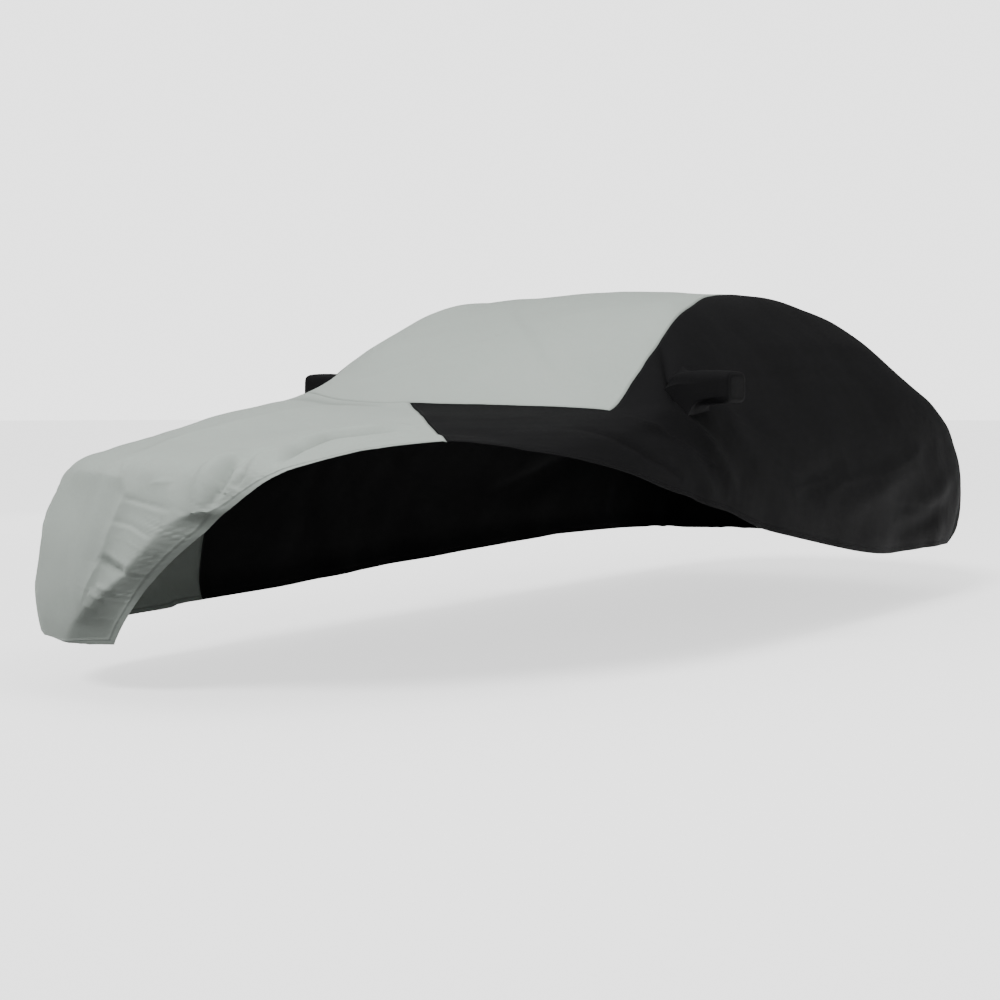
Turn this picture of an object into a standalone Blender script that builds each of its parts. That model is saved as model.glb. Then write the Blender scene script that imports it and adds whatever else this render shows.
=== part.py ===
"""A fitted two-tone cover, drawn back over its front left corner.

The cloth is one form, blended through a table of sections, and each panel is a
piece of that form. X runs across the cover with +X its left side, the front
faces -Y and +Z is up. The origin is on the underside of the roof, which carries
the cloth.
"""
from collections import namedtuple

import bmesh
import bpy
import numpy as np

COVER_NAME = "car_cover"

# Cloth, in metres.
CLOTH_THICKNESS = 0.0025
SEAM_GAP = 0.0003

# In the tables below y runs back from a line 0.85 m behind the front hem, and z
# up from the ground.
# This point on the underside of the roof becomes the origin.
ROOF_Y = 2.15
ROOF_OUTER_Z = 1.52
ORIGIN = np.array([0.0, ROOF_Y, ROOF_OUTER_Z - CLOTH_THICKNESS])

# Colours, as linear red, green, blue and alpha.
GREY_CLOTH = (0.42, 0.45, 0.42, 1.0)
BLACK_CLOTH = (0.01, 0.01, 0.01, 1.0)
CLOTH_ROUGHNESS = 0.8

# One row for each section across the cover, from the front hem to the rear hem.
# Each section has five rails: the centreline, the edge of the bonnet and roof,
# the belt line, the waist of the sides, and the skirt at or below the hem. A
# crown rail between the first two keeps the bonnet and roof evenly domed.
Section = namedtuple("Section", "name centre_y centre_z edge_x edge_y edge_z belt_x belt_y belt_z "
                     "waist_x waist_y waist_z skirt_x skirt_y skirt_z")
SECTION_ROWS = (
    ("front_hem", -0.85, 0.175, 0.55, -0.825, 0.175, 0.79, -0.75, 0.14, 0.89, -0.62, 0.03, 0.94, -0.46, -0.25),
    ("bumper", -0.88, 0.42, 0.58, -0.855, 0.41, 0.82, -0.755, 0.36, 0.925, -0.60, 0.25, 0.96, -0.38, -0.08),
    ("nose", -0.865, 0.62, 0.60, -0.825, 0.61, 0.83, -0.705, 0.56, 0.935, -0.50, 0.42, 0.965, -0.25, 0.05),
    ("bonnet_lip", -0.80, 0.80, 0.60, -0.725, 0.80, 0.84, -0.61, 0.72, 0.945, -0.42, 0.56, 0.97, -0.14, 0.15),
    ("bonnet_front", -0.60, 0.88, 0.62, -0.52, 0.86, 0.87, -0.43, 0.78, 0.96, -0.28, 0.62, 0.97, -0.02, 0.19),
    ("bonnet", -0.10, 0.97, 0.67, -0.05, 0.92, 0.90, -0.02, 0.82, 0.97, 0.05, 0.66, 0.97, 0.15, 0.20),
    ("screen_foot", 0.36, 1.015, 0.74, 0.62, 0.99, 0.92, 0.66, 0.87, 0.97, 0.66, 0.68, 0.97, 0.66, 0.20),
    ("screen", 0.90, 1.28, 0.675, 1.02, 1.205, 0.91, 1.05, 0.93, 0.97, 1.05, 0.70, 0.97, 1.05, 0.20),
    ("screen_head", 1.45, 1.455, 0.60, 1.40, 1.40, 0.885, 1.42, 0.98, 0.97, 1.42, 0.70, 0.97, 1.42, 0.20),
    ("roof_front", 1.75, 1.50, 0.56, 1.70, 1.445, 0.88, 1.72, 0.99, 0.97, 1.72, 0.70, 0.97, 1.72, 0.20),
    ("roof", ROOF_Y, ROOF_OUTER_Z, 0.54, 2.12, 1.47, 0.875, 2.12, 1.0, 0.97, 2.12, 0.70, 0.97, 2.12, 0.20),
    ("roof_rear", 2.75, 1.495, 0.54, 2.72, 1.45, 0.88, 2.72, 1.01, 0.97, 2.72, 0.70, 0.97, 2.72, 0.20),
    ("rear_window", 3.25, 1.385, 0.55, 3.22, 1.35, 0.90, 3.22, 1.01, 0.97, 3.22, 0.70, 0.97, 3.22, 0.20),
    ("boot_front", 3.70, 1.165, 0.60, 3.64, 1.095, 0.88, 3.58, 0.97, 0.96, 3.52, 0.70, 0.97, 3.50, 0.20),
    ("boot", 3.98, 1.07, 0.60, 3.90, 0.99, 0.85, 3.82, 0.89, 0.94, 3.74, 0.68, 0.935, 3.69, 0.20),
    ("boot_lip", 4.20, 1.01, 0.57, 4.10, 0.945, 0.79, 4.00, 0.83, 0.91, 3.89, 0.61, 0.885, 3.75, 0.20),
    ("tail", 4.30, 0.80, 0.57, 4.21, 0.75, 0.77, 4.08, 0.63, 0.885, 3.95, 0.44, 0.845, 3.75, 0.05),
    ("rear_bumper", 4.28, 0.50, 0.53, 4.19, 0.48, 0.71, 4.05, 0.38, 0.80, 3.90, 0.22, 0.83, 3.76, -0.15),
    ("rear_hem", 4.21, 0.25, 0.49, 4.12, 0.25, 0.65, 4.0, 0.15, 0.76, 3.87, 0.0, 0.80, 3.75, -0.35),
)
SECTIONS = [Section(*row) for row in SECTION_ROWS]

# Places on the cloth are given as "along", metres of cloth along the centreline
# from the front hem, and "across", metres from the centreline at the widest
# section, with + on the left. These are the rails' own places across.
CROWN = 0.36
EDGE = 0.62
BELT = 1.05
WAIST = 1.38
SKIRT = 1.88
LEFT_RAILS = (CROWN, EDGE, BELT, WAIST, SKIRT)
# How far the crown rail is from the centreline to the edge, in width and in drop.
CROWN_WIDTH_SHARE = 0.60
CROWN_DROP_SHARE = 0.27

# Height of the hem above the ground, from front to rear.
HemHeight = namedtuple("HemHeight", "along height")
HEM_HEIGHTS = (
    HemHeight(0.0, 0.175),
    HemHeight(1.9, 0.22),
    HemHeight(4.4, 0.29),
    HemHeight(5.3, 0.28),
    HemHeight(6.58, 0.25),
)

# On the left the cloth is drawn back: its edge climbs the nose from the front
# hem, runs over the bonnet and comes down again along the side.
Place = namedtuple("Place", "along across")
DRAWN_EDGE = (
    Place(0.00, -0.44),
    Place(0.18, -0.21),
    Place(0.38, 0.05),
    Place(0.55, 0.28),
    Place(0.70, 0.43),
    Place(0.82, 0.52),
    Place(1.04, 0.70),
    Place(1.28, 0.86),
    Place(1.57, 1.16),
    Place(1.75, 1.31),
    Place(2.06, 1.42),
    Place(2.60, 1.51),
    Place(3.40, 1.65),
    Place(4.30, 1.78),
    Place(5.00, 1.81),
    Place(6.58, 1.88),
)

# The black left panel meets the drawn edge in a point, and its seam runs from
# there up to the middle of the windscreen's foot.
DIAGONAL_SEAM = (
    Place(1.04, 0.70),
    Place(1.29, 0.44),
    Place(1.83, 0.0),
)
POINT_ALONG = DIAGONAL_SEAM[0].along

# On both sides the seam between the top and the side panels climbs the windscreen
# pillar and then runs back over the roof, the rear window and the boot.
SIDE_SEAM = (
    Place(1.83, 0.62),
    Place(2.40, 0.63),
    Place(2.95, 0.64),
    Place(3.10, 0.62),
    Place(3.45, 0.54),
    Place(3.90, 0.46),
    Place(4.70, 0.44),
    Place(5.40, 0.46),
    Place(6.58, 0.50),
)
# The right panel starts in a point at the hem, 1.4 m of cloth behind the nose.
RIGHT_POINT_ALONG = 1.39

# Cells of the sheets, along and across.
NOSE_ROWS = 15
BONNET_ROWS = 5
WING_ROWS = 6
CABIN_ROWS = 29
TAIL_ROWS = 14
CENTRE_CELLS = 16
SIDE_CELLS = 12
EDGE_CELLS = 7

# Mirror pockets. Their mouths are blocks of cells left out of the side panels,
# counted back from the windscreen's foot and out from the seam.
Mouth = namedtuple("Mouth", "first_row last_row first_column last_column")
LEFT_MOUTH = Mouth(3, 6, 2, 5)
RIGHT_MOUTH = Mouth(3, 6, 2, 4)
POCKET_TIP = (1.068, 1.00, 1.075)
POCKET_TIP_HALF_LENGTH = 0.080
POCKET_TIP_HALF_HEIGHT = 0.062
# Rings of a pocket, as shares of the way from its mouth to its tip: in outline
# and outwards.
Ring = namedtuple("Ring", "outline outwards")
POCKET_RINGS = (
    Ring(0.0, 0.0),
    Ring(0.45, 0.28),
    Ring(0.85, 0.62),
    Ring(1.0, 0.92),
    Ring(1.25, 1.0),
)

# Folds are soft ridges (+) and troughs (-) between two places on the cloth.
Fold = namedtuple("Fold", "name along_0 across_0 along_1 across_1 width height")
FOLDS = (
    Fold("tent_right", 1.05, -0.62, 3.15, -0.60, 0.30, 0.068),
    Fold("nose_ridge", 0.74, -0.28, 0.10, -0.50, 0.07, 0.022),
    Fold("nose_trough", 0.62, -0.14, 0.16, -0.36, 0.06, -0.014),
    Fold("lip_ridge", 0.62, -0.80, 0.60, -0.20, 0.06, 0.014),
    Fold("bonnet_ridge", 0.60, -0.26, 1.75, -0.14, 0.09, 0.018),
    Fold("bonnet_trough", 0.80, -0.02, 1.60, 0.10, 0.11, -0.012),
    Fold("pull_ridge_inner", 0.46, 0.10, 0.80, 0.12, 0.045, 0.018),
    Fold("pull_trough", 0.46, 0.18, 0.80, 0.20, 0.04, -0.016),
    Fold("pull_ridge_outer", 0.54, 0.27, 0.80, 0.28, 0.04, 0.014),
    Fold("drawn_trough", 0.72, 0.34, 1.20, 0.55, 0.055, -0.018),
    Fold("drawn_ridge", 0.86, 0.44, 1.30, 0.70, 0.055, 0.016),
    Fold("wing_ridge", 1.85, 0.70, 2.72, 1.42, 0.06, 0.018),
    Fold("wing_trough", 1.72, 0.88, 2.55, 1.40, 0.055, -0.016),
    Fold("pillar_trough", 2.62, 0.62, 2.16, 0.84, 0.05, -0.016),
    Fold("door_trough", 2.85, 1.02, 3.60, 1.52, 0.08, -0.014),
    Fold("belt_ridge", 3.05, 0.93, 4.60, 0.95, 0.06, 0.010),
    Fold("window_ridge", 3.20, 0.84, 4.80, 0.78, 0.06, 0.008),
    Fold("quarter_trough", 3.30, 1.45, 3.85, 1.34, 0.06, -0.014),
    Fold("quarter_ridge", 3.75, 1.56, 4.80, 1.34, 0.07, 0.018),
    Fold("gather_trough", 4.30, 1.70, 5.40, 1.62, 0.05, -0.018),
    Fold("gather_ridge", 4.55, 1.60, 5.60, 1.46, 0.06, 0.014),
    Fold("wheel_ridge_right", 1.10, -1.50, 2.05, -1.24, 0.08, 0.016),
    Fold("door_trough_right", 2.50, -1.06, 3.35, -1.58, 0.08, -0.014),
    Fold("door_ridge_right", 3.05, -0.95, 4.60, -0.93, 0.07, 0.010),
    Fold("quarter_ridge_right", 3.90, -1.60, 4.90, -1.30, 0.08, 0.016),
    Fold("corner_trough_right", 0.25, -1.00, 0.72, -0.86, 0.07, -0.018),
    Fold("corner_ridge_right", 0.30, -1.22, 0.95, -1.12, 0.08, 0.018),
    Fold("boot_ridge", 5.30, -0.30, 5.95, 0.36, 0.10, 0.012),
    Fold("tail_trough_left", 6.00, 0.20, 6.58, 0.34, 0.09, -0.018),
    Fold("tail_ridge_right", 5.98, -0.24, 6.58, -0.38, 0.09, 0.018),
)

# Below the waist the skirt hangs in slow waves, deepest at the hem.
Wave = namedtuple("Wave", "length depth start")
SKIRT_WAVES = (
    Wave(0.83, 0.010, 0.20),
    Wave(0.47, 0.006, 0.11),
)

# Along the drawn edge the cloth turns in under itself.
Turn = namedtuple("Turn", "along width depth")
TURNED_EDGE = (
    Turn(0.0, 0.24, 0.075),
    Turn(0.18, 0.20, 0.085),
    Turn(0.38, 0.17, 0.075),
    Turn(0.50, 0.15, 0.050),
    Turn(0.66, 0.12, 0.012),
    Turn(0.80, 0.10, 0.0),
)


class Blend:
    """A smooth blend through unevenly spaced knots, with the weight of each knot."""

    def __init__(self, knots):
        self.knots = np.array(knots, dtype=float)
        self.slopes = self.knot_slopes()

    def knot_slopes(self):
        """The slope at each knot, as weights of all the knots."""
        count = len(self.knots)
        gaps = np.diff(self.knots)
        slopes = np.zeros((count, count))
        slopes[0, :2] = (-1.0 / gaps[0], 1.0 / gaps[0])
        slopes[-1, -2:] = (-1.0 / gaps[-1], 1.0 / gaps[-1])
        for i in range(1, count - 1):
            before = gaps[i - 1]
            after = gaps[i]
            slopes[i, i + 1] = before / after / (before + after)
            slopes[i, i - 1] = -after / before / (before + after)
            slopes[i, i] = -slopes[i, i + 1] - slopes[i, i - 1]
        return slopes

    def weights(self, places):
        """One row of knot weights for each place."""
        left = np.searchsorted(self.knots, places, side="right") - 1
        left = np.clip(left, 0, len(self.knots) - 2)
        gap = self.knots[left + 1] - self.knots[left]
        u = (places - self.knots[left]) / gap
        rows = np.arange(len(places))
        weights = np.zeros((len(places), len(self.knots)))
        weights[rows, left] = 2 * u**3 - 3 * u**2 + 1
        weights[rows, left + 1] = 3 * u**2 - 2 * u**3
        weights += ((u**3 - 2 * u**2 + u) * gap)[:, None] * self.slopes[left]
        weights += ((u**3 - u**2) * gap)[:, None] * self.slopes[left + 1]
        return weights


def section_points():
    """The rail points of every section, from the right skirt to the left one."""
    points = np.zeros((len(SECTIONS), 2 * len(LEFT_RAILS) + 1, 3))
    middle = len(LEFT_RAILS)
    crown_shares = np.array([CROWN_WIDTH_SHARE, CROWN_DROP_SHARE, CROWN_DROP_SHARE])
    for i, section in enumerate(SECTIONS):
        centre = np.array([0.0, section.centre_y, section.centre_z])
        rails = [
            np.array([getattr(section, f"{rail}_{axis}") for axis in "xyz"])
            for rail in ("edge", "belt", "waist", "skirt")
        ]
        rails.insert(0, centre + (rails[0] - centre) * crown_shares)
        points[i, middle] = centre
        for step, rail in enumerate(rails, start=1):
            points[i, middle + step] = rail
            points[i, middle - step] = rail * (-1.0, 1.0, 1.0)
    return points


POINTS = section_points()
CENTRE_STEPS = np.linalg.norm(np.diff(POINTS[:, len(LEFT_RAILS)], axis=0), axis=1)
SECTION_ALONG = np.concatenate([[0.0], np.cumsum(CENTRE_STEPS)])
ALONG_BLEND = Blend(SECTION_ALONG)
ACROSS_BLEND = Blend([-rail for rail in reversed(LEFT_RAILS)] + [0.0] + list(LEFT_RAILS))


def along_of(name):
    """Where a named section lies along the cloth."""
    names = [section.name for section in SECTIONS]
    return SECTION_ALONG[names.index(name)]


SCREEN_FOOT = along_of("screen_foot")
BOOT_FRONT = along_of("boot_front")
REAR_HEM = along_of("rear_hem")


def read_table(rows, value, along):
    """A column of a table, read between its rows."""
    return np.interp(along, [row.along for row in rows], [getattr(row, value) for row in rows])


def plain_form(along, across):
    """Points of the form without its folds."""
    across_weights = ACROSS_BLEND.weights(across)
    return np.einsum("ni,nj,ijk->nk", ALONG_BLEND.weights(along), across_weights, POINTS)


def facing(form, along, across, step=0.004):
    """The outward direction of a form at each place."""
    backwards = form(along + step, across) - form(along - step, across)
    leftwards = form(along, across + step) - form(along, across - step)
    direction = np.cross(leftwards, backwards)
    return direction / np.linalg.norm(direction, axis=1)[:, None]


def fold_height(fold, along, across):
    """How far one fold lifts the cloth at each place."""
    run = np.array([fold.along_1 - fold.along_0, fold.across_1 - fold.across_0])
    length = np.linalg.norm(run)
    run = run / length
    forward = (along - fold.along_0) * run[0] + (across - fold.across_0) * run[1]
    aside = (across - fold.across_0) * run[0] - (along - fold.along_0) * run[1]
    middle = 2.0 * forward / length - 1.0
    fade = np.clip(1.0 - middle**2, 0.0, 1.0)
    return fold.height * fade * np.exp(-(aside / fold.width) ** 2)


def wave_height(along, across):
    """The skirt's waves, which grow from the waist to the hem."""
    below = np.clip((np.abs(across) - BELT) / (SKIRT - BELT), 0.0, 1.0)
    height = np.zeros_like(along)
    for wave in SKIRT_WAVES:
        height += wave.depth * np.sin(2.0 * np.pi * (along + wave.start * np.sign(across)) / wave.length)
    return height * below**1.5


def turned_depth(along, across):
    """How far the cloth turns in towards its drawn edge."""
    width = read_table(TURNED_EDGE, "width", along)
    inside = drawn_edge(along) - across
    share = np.clip(1.0 - inside / width, 0.0, 1.3)
    return read_table(TURNED_EDGE, "depth", along) * share**2


def drawn_edge(along):
    """Where the edge of the drawn-back cloth lies across."""
    knots = Blend([place.along for place in DRAWN_EDGE])
    return knots.weights(along) @ np.array([place.across for place in DRAWN_EDGE])


def cloth_form(along, across):
    """Points of the outer face of the cloth, with its folds."""
    height = wave_height(along, across) - turned_depth(along, across)
    for fold in FOLDS:
        height += fold_height(fold, along, across)
    return plain_form(along, across) + facing(plain_form, along, across) * height[:, None]


def level_hem(along):
    """How far out the cloth reaches the hem's height, on either side."""
    samples = np.linspace(EDGE, SKIRT, 400)
    hem = np.zeros_like(along)
    for i, place in enumerate(along):
        heights = plain_form(np.full_like(samples, place), samples)[:, 2]
        hem[i] = np.interp(-read_table(HEM_HEIGHTS, "height", place), -heights, samples)
    return hem


def sheet_rows():
    """Where the rows of cells lie along the cloth, from the front hem to the rear one."""
    stops = (0.0, POINT_ALONG, RIGHT_POINT_ALONG, SCREEN_FOOT, BOOT_FRONT, REAR_HEM)
    counts = (NOSE_ROWS, BONNET_ROWS, WING_ROWS, CABIN_ROWS, TAIL_ROWS)
    rows = [np.linspace(stops[i], stops[i + 1], counts[i] + 1)[:-1] for i in range(len(counts))]
    return np.concatenate(rows + [[REAR_HEM]])


ROWS = sheet_rows()
POINT_ROW = NOSE_ROWS
RIGHT_POINT_ROW = POINT_ROW + BONNET_ROWS
FOOT_ROW = RIGHT_POINT_ROW + WING_ROWS
BOOT_ROW = FOOT_ROW + CABIN_ROWS


def strip(rows, starts, ends, cells):
    """A grid of places on the cloth: one line of cells for each gap between rows."""
    shares = np.linspace(0.0, 1.0, cells + 1)
    across = starts[:, None] + (ends - starts)[:, None] * shares
    along = np.broadcast_to(rows[:, None], across.shape)
    return np.stack([along, across], axis=2)


def right_hem():
    """The right hem's places across, for all the rows."""
    return -level_hem(ROWS)


def left_hem():
    """The left hem's places across, for all the rows: drawn back, then level."""
    return np.minimum(drawn_edge(ROWS), level_hem(ROWS))


def side_seam():
    """The seam of the side panels from the windscreen's foot back, for all the rows."""
    blend = Blend([place.along for place in SIDE_SEAM])
    seam = blend.weights(ROWS) @ np.array([place.across for place in SIDE_SEAM])
    seam[:FOOT_ROW + 1] = EDGE
    return seam


def right_seam():
    """The right panel's seam: up from its point at the hem, and then back."""
    hem_at_point = right_hem()[RIGHT_POINT_ROW]
    rising = np.interp(ROWS, (RIGHT_POINT_ALONG, SCREEN_FOOT), (hem_at_point, -EDGE))
    return np.where(ROWS < SCREEN_FOOT, rising, -side_seam())


def left_inner_line():
    """A line inside the left panel from its point to the pillar, and its seam beyond."""
    rising = np.interp(ROWS, (POINT_ALONG, SCREEN_FOOT), (DIAGONAL_SEAM[0].across, EDGE))
    return np.where(ROWS < SCREEN_FOOT, rising, side_seam())


def diagonal_seam():
    """The seam between the grey bonnet and the black left panel."""
    seam = read_table(DIAGONAL_SEAM, "across", ROWS)
    seam[FOOT_ROW] = 0.0
    return seam


def front_strips():
    """Nose and bonnet, with the right front corner and wing."""
    rows = ROWS[:FOOT_ROW + 1]
    edge = np.full_like(rows, -EDGE)
    left = np.where(rows < POINT_ALONG, drawn_edge(rows), diagonal_seam()[:FOOT_ROW + 1])
    half = CENTRE_CELLS // 2
    share = np.interp(rows, (POINT_ALONG, SCREEN_FOOT), (half / (half + EDGE_CELLS), 1.0))
    middle = edge + (left - edge) * share
    right = np.where(rows < RIGHT_POINT_ALONG, right_hem()[:FOOT_ROW + 1], right_seam()[:FOOT_ROW + 1])
    return [
        strip(rows, edge, middle, half),
        strip(rows, middle, left, EDGE_CELLS),
        strip(rows, edge, right, SIDE_CELLS),
    ]


def top_strips():
    """Windscreen, roof and rear window."""
    rows = ROWS[FOOT_ROW:BOOT_ROW + 1]
    seam = side_seam()[FOOT_ROW:BOOT_ROW + 1]
    return [strip(rows, -seam, seam, CENTRE_CELLS)]


def rear_strips():
    """Boot and tail, down to the rear hem."""
    rows = ROWS[BOOT_ROW:]
    seam = side_seam()[BOOT_ROW:]
    return [strip(rows, -seam, seam, CENTRE_CELLS)]


def left_strips():
    """Left wing, side and rear quarter."""
    wing = slice(POINT_ROW, FOOT_ROW + 1)
    side = slice(POINT_ROW, None)
    return [
        strip(ROWS[wing], left_inner_line()[wing], diagonal_seam()[wing], CENTRE_CELLS // 2),
        strip(ROWS[side], left_inner_line()[side], left_hem()[side], SIDE_CELLS),
    ]


def right_strips():
    """Right side and rear quarter."""
    side = slice(RIGHT_POINT_ROW, None)
    return [strip(ROWS[side], right_seam()[side], right_hem()[side], SIDE_CELLS)]


def cut_mouth(cells, mouth, first_row):
    """Blank the cells of a pocket's mouth in a strip that starts at first_row."""
    start = FOOT_ROW + mouth.first_row - first_row
    stop = FOOT_ROW + mouth.last_row - first_row
    cells[start:stop, mouth.first_column:mouth.last_column] = False


def mouth_places(grid, mouth, first_row):
    """The places around a pocket's mouth, in order."""
    start = FOOT_ROW + mouth.first_row - first_row
    stop = FOOT_ROW + mouth.last_row - first_row
    block = grid[start:stop + 1, mouth.first_column:mouth.last_column + 1]
    loop = [block[0, :-1], block[:-1, -1], block[-1, :0:-1], block[:0:-1, 0]]
    return np.concatenate(loop)


def panel_cells(strips, mouths):
    """The cells of a panel as lists of place numbers, and the places themselves."""
    numbers = {}
    places = []
    cells = []
    for grid, mouth in zip(strips, mouths):
        kept = np.ones((grid.shape[0] - 1, grid.shape[1] - 1), dtype=bool)
        if mouth:
            cut_mouth(kept, *mouth)
        for row, column in zip(*np.nonzero(kept)):
            block = grid[row:row + 2, column:column + 2].reshape(4, 2)
            cell = []
            for place in block[[0, 1, 3, 2]]:
                key = (round(float(place[0]), 6), round(float(place[1]), 6))
                if key not in numbers:
                    numbers[key] = len(places)
                    places.append(key)
                if numbers[key] not in cell:
                    cell.append(numbers[key])
            if len(cell) > 2:
                cells.append(cell)
    return cells, np.array(places)


def outward_order(cell, places):
    """A cell's corners in the order that makes its face point out of the cover."""
    along = places[cell, 0]
    across = places[cell, 1]
    area = np.sum(across * np.roll(along, -1) - np.roll(across, -1) * along)
    return cell if area > 0.0 else cell[::-1]


def split_cell(cell, outer):
    """A cell as triangles, cut along its shorter diagonal."""
    if len(cell) == 3:
        return [cell]
    a, b, c, d = cell
    if np.linalg.norm(outer[a] - outer[c]) < np.linalg.norm(outer[b] - outer[d]):
        return [[a, b, c], [a, c, d]]
    return [[a, b, d], [b, c, d]]


def open_edges(triangles):
    """The directed edges that only one triangle has."""
    edges = set()
    for a, b, c in triangles:
        edges.update(((a, b), (b, c), (c, a)))
    return [(a, b) for a, b in sorted(edges) if (b, a) not in edges]


def seam_shifts(outer, normals, edges):
    """Small moves that draw a panel's edges in by half of the seam gap."""
    inwards = {}
    for a, b in edges:
        run = outer[b] - outer[a]
        for corner in (a, b):
            inward = np.cross(normals[corner], run)
            inwards.setdefault(corner, []).append(inward / np.linalg.norm(inward))
    shifts = np.zeros_like(outer)
    for corner, (first, second) in inwards.items():
        mitre = max(1.0 + float(first @ second), 0.25)
        shifts[corner] = (first + second) * SEAM_GAP / 2.0 / mitre
    return shifts


def sheet_mesh(name, strips, mouths):
    """A closed sheet over the strips' places.

    Both of its faces come from the form's own directions, so the edges of two
    panels stay parallel at their seam, where a Solidify would tilt each edge
    with its own last faces.
    """
    cells, places = panel_cells(strips, mouths)
    along = places[:, 0]
    across = places[:, 1]
    outer = cloth_form(along, across)
    normals = facing(cloth_form, along, across)
    triangles = []
    for cell in cells:
        triangles += split_cell(outward_order(cell, places), outer)
    edges = open_edges(triangles)
    outer = outer + seam_shifts(outer, normals, edges) - ORIGIN
    inner = outer - normals * CLOTH_THICKNESS
    sheet = bmesh.new()
    outer_points = [sheet.verts.new(point) for point in outer]
    inner_points = [sheet.verts.new(point) for point in inner]
    for triangle in triangles:
        sheet.faces.new([outer_points[i] for i in triangle])
        sheet.faces.new([inner_points[i] for i in reversed(triangle)])
    for a, b in edges:
        if tuple(places[a]) < tuple(places[b]):
            sheet.faces.new((outer_points[b], outer_points[a], inner_points[b]))
            sheet.faces.new((outer_points[a], inner_points[a], inner_points[b]))
        else:
            sheet.faces.new((outer_points[b], outer_points[a], inner_points[a]))
            sheet.faces.new((outer_points[b], inner_points[a], inner_points[b]))
    return finish_mesh(name, sheet)


def finish_mesh(name, shape):
    """Turn a bmesh into a smooth-shaded mesh."""
    mesh = bpy.data.meshes.new(name)
    shape.to_mesh(mesh)
    shape.free()
    mesh.shade_smooth()
    mesh.set_sharp_from_angle(angle=np.radians(50.0))
    return mesh


def pocket_rings(places, side):
    """The rings of a mirror pocket, from its mouth to its tip."""
    along = places[:, 0]
    across = places[:, 1]
    mouth = cloth_form(along, across) + facing(cloth_form, along, across) * SEAM_GAP
    tip = np.array(POCKET_TIP) * (side, 1.0, 1.0)
    middle = mouth.mean(axis=0)
    spread = (mouth - middle)[:, 1:]
    spread = spread / np.abs(spread).max(axis=0)
    spread = spread / (np.abs(spread) ** 4).sum(axis=1)[:, None] ** 0.25
    outline = tip + np.column_stack([
        np.zeros(len(mouth)),
        spread[:, 0] * POCKET_TIP_HALF_LENGTH,
        spread[:, 1] * POCKET_TIP_HALF_HEIGHT,
    ])
    rings = []
    for ring in POCKET_RINGS:
        points = mouth + (outline - mouth) * min(ring.outline, 1.0)
        points[:, 1:] = tip[1:] + (points[:, 1:] - tip[1:]) / max(ring.outline, 1.0)
        points[:, 0] = mouth[:, 0] + (tip[0] - mouth[:, 0]) * ring.outwards
        rings.append(points - ORIGIN)
    return rings


def pocket_mesh(name, places, side):
    """The open skin of a mirror pocket: its rings, bridged, and a closed tip."""
    rings = pocket_rings(places, side)
    skin = bmesh.new()
    loops = [[skin.verts.new(point) for point in ring] for ring in rings]
    count = len(loops[0])
    for inner, outer in zip(loops, loops[1:]):
        for i in range(count):
            after = (i + 1) % count
            skin.faces.new((inner[i], inner[after], outer[after], outer[i]))
    skin.faces.new(loops[-1])
    bmesh.ops.recalc_face_normals(skin, faces=skin.faces)
    tip_face = max(skin.faces, key=lambda face: len(face.verts))
    if tip_face.normal.x * side < 0.0:
        bmesh.ops.reverse_faces(skin, faces=skin.faces)
    bmesh.ops.triangulate(skin, faces=skin.faces)
    return finish_mesh(name, skin)


def cloth_material(name, colour):
    """A matt woven cloth of one colour."""
    material = bpy.data.materials.new(name)
    material.use_nodes = True
    surface = material.node_tree.nodes["Principled BSDF"]
    surface.inputs["Base Color"].default_value = colour
    surface.inputs["Roughness"].default_value = CLOTH_ROUGHNESS
    surface.inputs["Metallic"].default_value = 0.0
    material.diffuse_color = colour
    return material


def add_part(name, mesh, colour, collection):
    """Put a mesh into the cover as a piece with a material of its own."""
    piece = bpy.data.objects.new(name, mesh)
    mesh.materials.append(cloth_material(f"{name}_cloth", colour))
    collection.objects.link(piece)
    return piece


def add_pocket(name, places, side, collection):
    """A black mirror pocket, sewn on around its mouth."""
    pocket = add_part(name, pocket_mesh(name, places, side), BLACK_CLOTH, collection)
    thicken = pocket.modifiers.new("cloth", "SOLIDIFY")
    thicken.thickness = CLOTH_THICKNESS
    thicken.offset = -1.0
    return pocket


def build_cover():
    """Model the cover's panels and mirror pockets."""
    for piece in list(bpy.data.objects):
        bpy.data.objects.remove(piece, do_unlink=True)
    cover = bpy.data.collections.new(COVER_NAME)
    bpy.context.scene.collection.children.link(cover)
    left = left_strips()
    right = right_strips()
    panels = (
        ("front_panel", front_strips(), (None, None, None), GREY_CLOTH),
        ("top_panel", top_strips(), (None,), GREY_CLOTH),
        ("rear_panel", rear_strips(), (None,), GREY_CLOTH),
        ("left_panel", left, (None, (LEFT_MOUTH, POINT_ROW)), BLACK_CLOTH),
        ("right_panel", right, ((RIGHT_MOUTH, RIGHT_POINT_ROW),), BLACK_CLOTH),
    )
    for name, strips, mouths, colour in panels:
        add_part(name, sheet_mesh(name, strips, mouths), colour, cover)
    add_pocket("left_mirror_pocket", mouth_places(left[1], LEFT_MOUTH, POINT_ROW), 1.0, cover)
    add_pocket("right_mirror_pocket", mouth_places(right[0], RIGHT_MOUTH, RIGHT_POINT_ROW), -1.0, cover)


build_cover()
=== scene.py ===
from collections import namedtuple
from contextlib import contextmanager

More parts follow.
